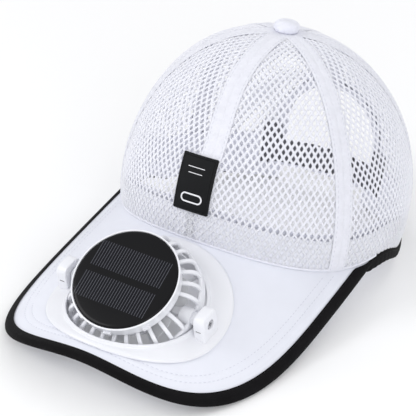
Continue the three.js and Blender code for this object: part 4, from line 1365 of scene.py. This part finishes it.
def flange():
    """The flange on the peak, which rises to a collar round the fan and goes down through the peak."""
    under, top, rim, foot = 0.3, FLANGE_TOP, 3.7, -6.4
    collar = [
        (COLLAR_IN, foot), (COLLAR_IN, 0), (COLLAR_IN, rim - 0.7), (COLLAR_IN + 0.15, rim - 0.25),
        (COLLAR_IN + 0.5, rim), (COLLAR_OUT - 0.5, rim), (COLLAR_OUT - 0.12, rim - 0.25),
        (COLLAR_OUT, rim - 0.6), (COLLAR_OUT + 0.15, top + 0.6), (COLLAR_OUT + 0.6, top + 0.12),
        (COLLAR_OUT + 1.4, top),
    ]
    sections = []
    for turn in np.linspace(0, 2 * math.pi, 180, endpoint=False):
        far = flange_reach(turn)
        near = COLLAR_OUT + 1.4
        face = [
            (near + (far - 1.6 - near) * share, top + 0.18 * math.sin(share * math.pi))
            for share in np.linspace(0.15, 1, 7)
        ]
        edge = [
            (far - 0.9, top - 0.12), (far - 0.3, top - 0.5), (far, top - 1.1), (far - 0.05, under + 0.25),
            (far - 0.4, under), (COLLAR_OUT + 2, under), (COLLAR_OUT, under), (COLLAR_OUT, -3),
            (COLLAR_OUT, foot),
        ]
        sections.append(on_peak(collar + face + edge, turn))
    skin = Skin()
    skin.sweep(from_seat(sections), loop=True)
    return skin


def retainer():
    """The ring that clamps the flange from below."""
    high = -PEAK_THICK / math.cos(SEAT_SLOPE) - 0.35
    inner = COLLAR_OUT + 0.4
    profile = [(inner, high), (inner + 4.2, high), (inner + 4.2, high - 1.2), (inner + 3.9, high - 1.5),
               (inner + 0.3, high - 1.5), (inner, high - 1.2)]
    skin = Skin()
    turns = np.linspace(0, 2 * math.pi, 144, endpoint=False)
    skin.sweep(from_seat([on_peak(profile, turn) for turn in turns]), loop=True)
    return skin


def rod(skin, stations, place, sides):
    """A round bar along the X axis of a frame, from its places and radii."""
    turn = np.linspace(0, 2 * math.pi, sides, endpoint=False)
    sections = [
        np.stack([np.full(sides, x), radius * np.cos(turn), radius * np.sin(turn)], -1)
        for x, radius in stations
    ]
    skin.sweep(place(sections))


def box(skin, x, y, z, wide, deep, high, place):
    """A plain box about a point of a frame."""
    corners = ((-1, -1), (1, -1), (1, 1), (-1, 1))
    sections = [
        [(x + side * wide / 2, y + deep / 2 * a, z + high / 2 * b) for a, b in corners] for side in (-1, 1)
    ]
    skin.sweep(place(np.array(sections)))


def pivot_block(side):
    """A rounded block with softened edges, standing on the flange."""
    long = BLOCK_OUT - BLOCK_IN
    stations = ((0.0, 0.9), (0.12, 0.35), (0.45, 0.0), (3.6, 0.0), (long - 1.2, 0.0),
                (long - 0.5, 0.35), (long - 0.12, 0.85), (long, 1.5))
    turn = np.linspace(0, math.pi, 49)
    sections = []
    for along, inset in stations:
        x = side * (BLOCK_IN + along)
        radius = BLOCK_RADIUS - inset
        ys = radius * np.sign(np.cos(turn)) * np.abs(np.cos(turn)) ** 0.5
        zs = radius * np.sin(turn) ** 0.5
        base = ys[-1] + (ys[0] - ys[-1]) * np.linspace(0, 1, 5)
        ground = seat_ground(np.full(5, x), base) + FLANGE_TOP + 0.12
        loop = [(x, y, z) for y, z in zip(ys, zs)]
        loop += [(x, ys[-1], ground[0] * share) for share in (0.3, 0.6, 1.0)]
        loop += [(x, y, z) for y, z in zip(base[1:-1], ground[1:-1])]
        loop += [(x, ys[0], ground[-1] * share) for share in (1.0, 0.6, 0.3)]
        sections.append(loop)
    skin = Skin()
    skin.sweep(from_seat(sections))
    return skin


def pivot_screw(side):
    """A screw from the block's outer face into the head's boss."""
    face = BLOCK_OUT - 0.5
    stations = ((39.5, 1.5), (face - 1.6, 1.5), (face - 1.55, 2.8), (face - 0.6, 2.8), (face - 0.25, 2.6),
                (face - 0.05, 2.2), (face, 1.6))
    skin = Skin()
    rod(skin, [(side * x, radius) for x, radius in stations], from_seat, 40)
    return skin


class MakeFanHead(bpy.types.Operator):
    """Makes the cage with its curved ribs, the guard below it, the panel frame and the solar disc"""
    bl_idname = "cap.make_fan_head"
    bl_label = "Fan head"

    def execute(self, context):
        sizes = context.scene.fan_sizes
        make("cage_moulding", fan_cage(sizes.ribs), "plastic", "fan_head", ["fan_cage"], 38, weld=False)
        make("guard_moulding", guard(sizes.spokes), "plastic", "fan_head", ["lower_guard"], 38, weld=False)
        make("panel_cup", panel_cup(), "plastic", "fan_head", ["panel_frame"], 35)
        make("solar_face", solar_face(), "glaze", "fan_head", ["solar_disc"], 35)
        return {"FINISHED"}


def soft_ring(outer, inner, low, high, soft):
    """The profile of a ring with rounded edges."""
    return rounded(low, high, inner, outer, soft, 3)[:, ::-1]


def spoke_point(out, aside, up, turn):
    """Points at a distance from the Z axis of the head, beside it and up, at one turn."""
    c, s = math.cos(turn), math.sin(turn)
    return from_head(np.stack(np.broadcast_arrays(out * c - aside * s, out * s + aside * c, up), -1))


def fan_cage(ribs):
    """The outer ring, the ring under the panel, the curved ribs between them and the two bosses."""
    skin = Skin()
    skin.turned(soft_ring(HEAD_OUT, HEAD_IN, -4.6, 1.6, 0.7), 144, from_head)
    skin.turned(soft_ring(31.2, 29.0, 11.0, 13.0, 0.5), 144, from_head)
    foot, bow, top = np.array([40.3, 1.2]), np.array([40.9, 9.6]), np.array([29.9, 11.6])
    section = rounded(-1.25, 1.25, -1.1, 1.1, 0.55, 2)
    for i in range(ribs):
        turn = math.radians(i * 360 / ribs)
        if abs(math.sin(turn)) * HEAD_OUT < 4.85:
            continue
        rings = []
        for t in np.linspace(0, 1, 13):
            place = foot * (1 - t) ** 2 + bow * 2 * t * (1 - t) + top * t * t
            ahead = (bow - foot) * 2 * (1 - t) + (top - bow) * 2 * t
            ahead /= np.linalg.norm(ahead)
            out = place[0] + ahead[1] * section[:, 1]
            up = place[1] - ahead[0] * section[:, 1]
            rings.append(spoke_point(out, section[:, 0], up, turn))
        skin.sweep(rings)
    for side in (-1, 1):
        rod(skin, ((side * 34.6, 4.0), (side * 44.7, 4.0)), from_head, 40)
        rod(skin, ((side * 33.5, 5.4), (side * 41.3, 5.4)), from_head, 40)
    return skin


def guard(spokes):
    """The guard below the impeller: two rings, a middle plate and spokes."""
    low, high = -6.7, -4.9
    skin = Skin()
    skin.turned(soft_ring(HEAD_OUT, HEAD_IN, low, high, 0.5), 144, from_head)
    skin.turned(soft_ring(23.0, 21.4, low, high, 0.4), 120, from_head)
    plate = [(0.02, low), (6.4, low), (6.9, -6.4), (7.0, -5.9), (6.9, -5.2), (6.5, high), (0.02, high)]
    skin.turned(plate, 64, from_head)
    section = rounded(-0.8, 0.8, low + 0.1, high - 0.1, 0.35, 2)
    for i in range(spokes):
        turn = 2 * math.pi * i / spokes
        outs = np.linspace(4.5, 40.2, 5)
        skin.sweep([spoke_point(out, section[:, 0], section[:, 1], turn) for out in outs])
    return skin


def panel_cup():
    """The cup that holds the solar disc, with a thin lip round it and clips below its edge."""
    skin = Skin()
    profile = [
        (0.02, 17.6), (31.3, 17.6), (31.3, 13.5), (31.5, 13.3), (32.5, 13.3), (32.7, 13.5),
        (32.9, 16.4), (33.3, 19.6), (33.7, 20.8), (33.8, 21.2), (33.65, 21.55), (33.3, 21.7), (32.9, 21.65),
        (32.7, 21.4), (32.7, 19.7), (0.02, 19.7),
    ]
    skin.turned(profile, 144, from_head)
    for angle in (240, 278, 320, 120, 60):
        turn = math.radians(angle)
        box(skin, 33.0, 0, 15.9, 2.6, 4.8, 2.0,
            lambda points: spoke_point(points[..., 0], points[..., 1], points[..., 2], turn))
    return skin


def solar_face():
    """The disc, with its flat coordinates measured from its middle for the collector lines."""
    profile = np.array([
        (0.02, 20.0), (32.2, 20.0), (32.4, 20.2), (32.4, 21.0), (32.25, 21.4), (31.9, 21.7),
        (31.2, 21.9), (30.2, 22.0), (20, 22.0), (10, 22.0), (0.02, 22.0),
    ])
    sides = 144
    skin = Skin()
    skin.turned(profile, sides, from_head)
    turn = np.linspace(0, 2 * math.pi, sides, endpoint=False)
    out = np.stack([np.cos(turn), np.sin(turn)], -1)
    skin.flat[-1] = (profile[None, :, :1] * out[:, None]).reshape(-1, 2)
    return skin


class MakeRotor(bpy.types.Operator):
    """Makes the motor under the panel and the impeller that it turns"""
    bl_idname = "cap.make_rotor"
    bl_label = "Motor and impeller"

    def execute(self, context):
        sizes = context.scene.fan_sizes
        motor = Skin()
        low, high = 7.3, 17.3
        profile = [
            (0.02, low), (3.2, low), (3.4, low), (8.6, low), (9.6, 7.7), (10, 8.5), (10, high), (0.02, high),
        ]
        motor.turned(profile, 80, from_head)
        make("motor_can", motor, "clear grey", "fan_head", ["fan_motor"], 35)
        rotor = impeller(sizes.blades, sizes.blade_thick * 1000)
        make("rotor_moulding", rotor, "clear grey", "impeller", ["impeller"], 40, weld=False)
        return {"FINISHED"}


def impeller(blades, thick):
    """A hub with twisted blades."""
    low, high = -2.0, 6.8
    hub = [(0.02, low), (6.6, low), (7.9, low + 0.4), (8.7, low + 1.2), (HUB_RADIUS, low + 2.2),
           (HUB_RADIUS, high - 0.3), (8.7, high), (0.02, high)]
    skin = Skin()
    skin.turned(hub, 72, from_head)
    for i in range(blades):
        start = 360 / blades * i
        rings = []
        for radius in np.linspace(HUB_RADIUS - 0.8, BLADE_TIP, 12):
            reach = (radius - HUB_RADIUS) / BLADE_TIP
            thin = thick / 2 * (1 - 0.35 * reach)
            trim = 0.06 + 0.1 * max(0.0, (radius - BLADE_TIP + 2.5) / 2.5) ** 2
            share = np.linspace(trim, 1 - trim, 11)
            turn = np.radians(start + 34 * share + 10 * reach)
            lift = low + 0.6 + (high - low - 1.2) * share
            round_share = np.clip((share - trim) / (1 - 2 * trim), 0, 1)
            body = thin * (0.25 + 0.75 * np.sqrt(np.maximum(0, np.sin(math.pi * round_share))))
            x, y = radius * np.cos(turn), radius * np.sin(turn)
            upper = np.stack([x, y, lift + body], -1)
            lower = np.stack([x, y, lift - body], -1)
            rings.append(np.concatenate([upper, lower[::-1]]))
        skin.sweep(from_head(rings))
    return skin


class MakeStage(bpy.types.Operator):
    """Makes the pale floor, the soft lights and the camera"""
    bl_idname = "cap.make_stage"
    bl_label = "Floor, lights and camera"

    def execute(self, context):
        context.scene.view_settings.view_transform = "Standard"
        lay_floor()
        light_room(context.scene)
        place_camera(context.scene)
        return {"FINISHED"}


def lay_floor():
    """A wide sheet of pale paper."""
    mesh = bpy.data.meshes.new("floor")
    mesh.from_pydata([(-6, -6, 0), (6, -6, 0), (6, 6, 0), (-6, 6, 0)], [], [(0, 1, 2, 3)])
    floor = bpy.data.objects.new("floor", mesh)
    bpy.context.scene.collection.objects.link(floor)
    paper = Finish("floor", (0.93, 0.93, 0.93, 1), 0.75, Specular_IOR_Level=0.1)
    paper.mottle(0.8, 0.004)
    mesh.materials.append(paper.material)


def light_room(scene):
    """A bright room, three soft lamps and a weak one inside the crown, which keeps its shade pale."""
    world = bpy.data.worlds.new("room")
    scene.world = world
    world.use_nodes = True
    background = world.node_tree.nodes["Background"]
    background.inputs["Color"].default_value = (0.98, 0.985, 1.0, 1)
    background.inputs["Strength"].default_value = 0.76
    for name, place, size, power in LAMPS:
        data = bpy.data.lights.new(name, "AREA")
        data.shape = "DISK"
        data.size = size
        data.energy = power
        lamp = bpy.data.objects.new(name, data)
        scene.collection.objects.link(lamp)
        lamp.location = place
        lamp.rotation_euler = (Vector(LAMP_AIM) - Vector(place)).to_track_quat("-Z", "Y").to_euler()
    data = bpy.data.lights.new("inside", "POINT")
    data.energy = 0.04
    data.shadow_soft_size = 0.03
    lamp = bpy.data.objects.new("inside", data)
    lamp.location = (0, 0.061, 0.066)
    lamp.visible_camera = False
    scene.collection.objects.link(lamp)


def place_camera(scene):
    """The camera stands where the photograph was taken from."""
    data = bpy.data.cameras.new("camera")
    data.lens = CAMERA_LENS
    data.sensor_width = 36
    data.clip_start = 0.05
    data.clip_end = 60
    camera = bpy.data.objects.new("camera", data)
    scene.collection.objects.link(camera)
    aim = Vector(CAMERA_AIM) - Vector(CAMERA_PLACE)
    turn = aim.to_track_quat("-Z", "Y").to_matrix().to_4x4()
    roll = Matrix.Rotation(CAMERA_ROLL, 4, "Z")
    camera.matrix_world = Matrix.Translation(CAMERA_PLACE) @ turn @ roll
    scene.camera = camera


class CapPanel(bpy.types.Panel):
    """Lists the cap's pieces and settings"""
    bl_idname = "VIEW3D_PT_solar_fan_cap"
    bl_label = "Solar fan cap"
    bl_space_type = "VIEW_3D"
    bl_region_type = "UI"
    bl_category = "Cap"

    def draw(self, context):
        layout = self.layout
        for group in (context.scene.cap_sizes, context.scene.fan_sizes, context.scene.cap_colours):
            frame_box = layout.box()
            for name in group.__annotations__:
                frame_box.prop(group, name)
        for operator in OPERATORS:
            layout.operator(operator.bl_idname)


GROUPS = (CapSizes, FanSizes, CapColours)
OPERATORS = (
    MakeStage, MakeNet, MakeBands, MakeHem, MakeBackOpening, MakeButton,
    MakePeak, MakeLabel, MakeFanSeat, MakeFanHead, MakeRotor,
)


def register():
    for kind in (*GROUPS, *OPERATORS, CapPanel):
        bpy.utils.register_class(kind)
    bpy.types.Scene.cap_sizes = PointerProperty(type=CapSizes)
    bpy.types.Scene.fan_sizes = PointerProperty(type=FanSizes)
    bpy.types.Scene.cap_colours = PointerProperty(type=CapColours)


def unregister():
    del bpy.types.Scene.cap_colours
    del bpy.types.Scene.fan_sizes
    del bpy.types.Scene.cap_sizes
    for kind in reversed((*GROUPS, *OPERATORS, CapPanel)):
        bpy.utils.unregister_class(kind)


def main():
    register()
    bpy.ops.cap.make_stage()
    bpy.ops.cap.make_net()
    bpy.ops.cap.make_bands()
    bpy.ops.cap.make_hem()
    bpy.ops.cap.make_back_opening()
    bpy.ops.cap.make_button()
    bpy.ops.cap.make_peak()
    bpy.ops.cap.make_label()
    bpy.ops.cap.make_fan_seat()
    bpy.ops.cap.make_fan_head()
    bpy.ops.cap.make_rotor()


if __name__ == "__main__":
    main()
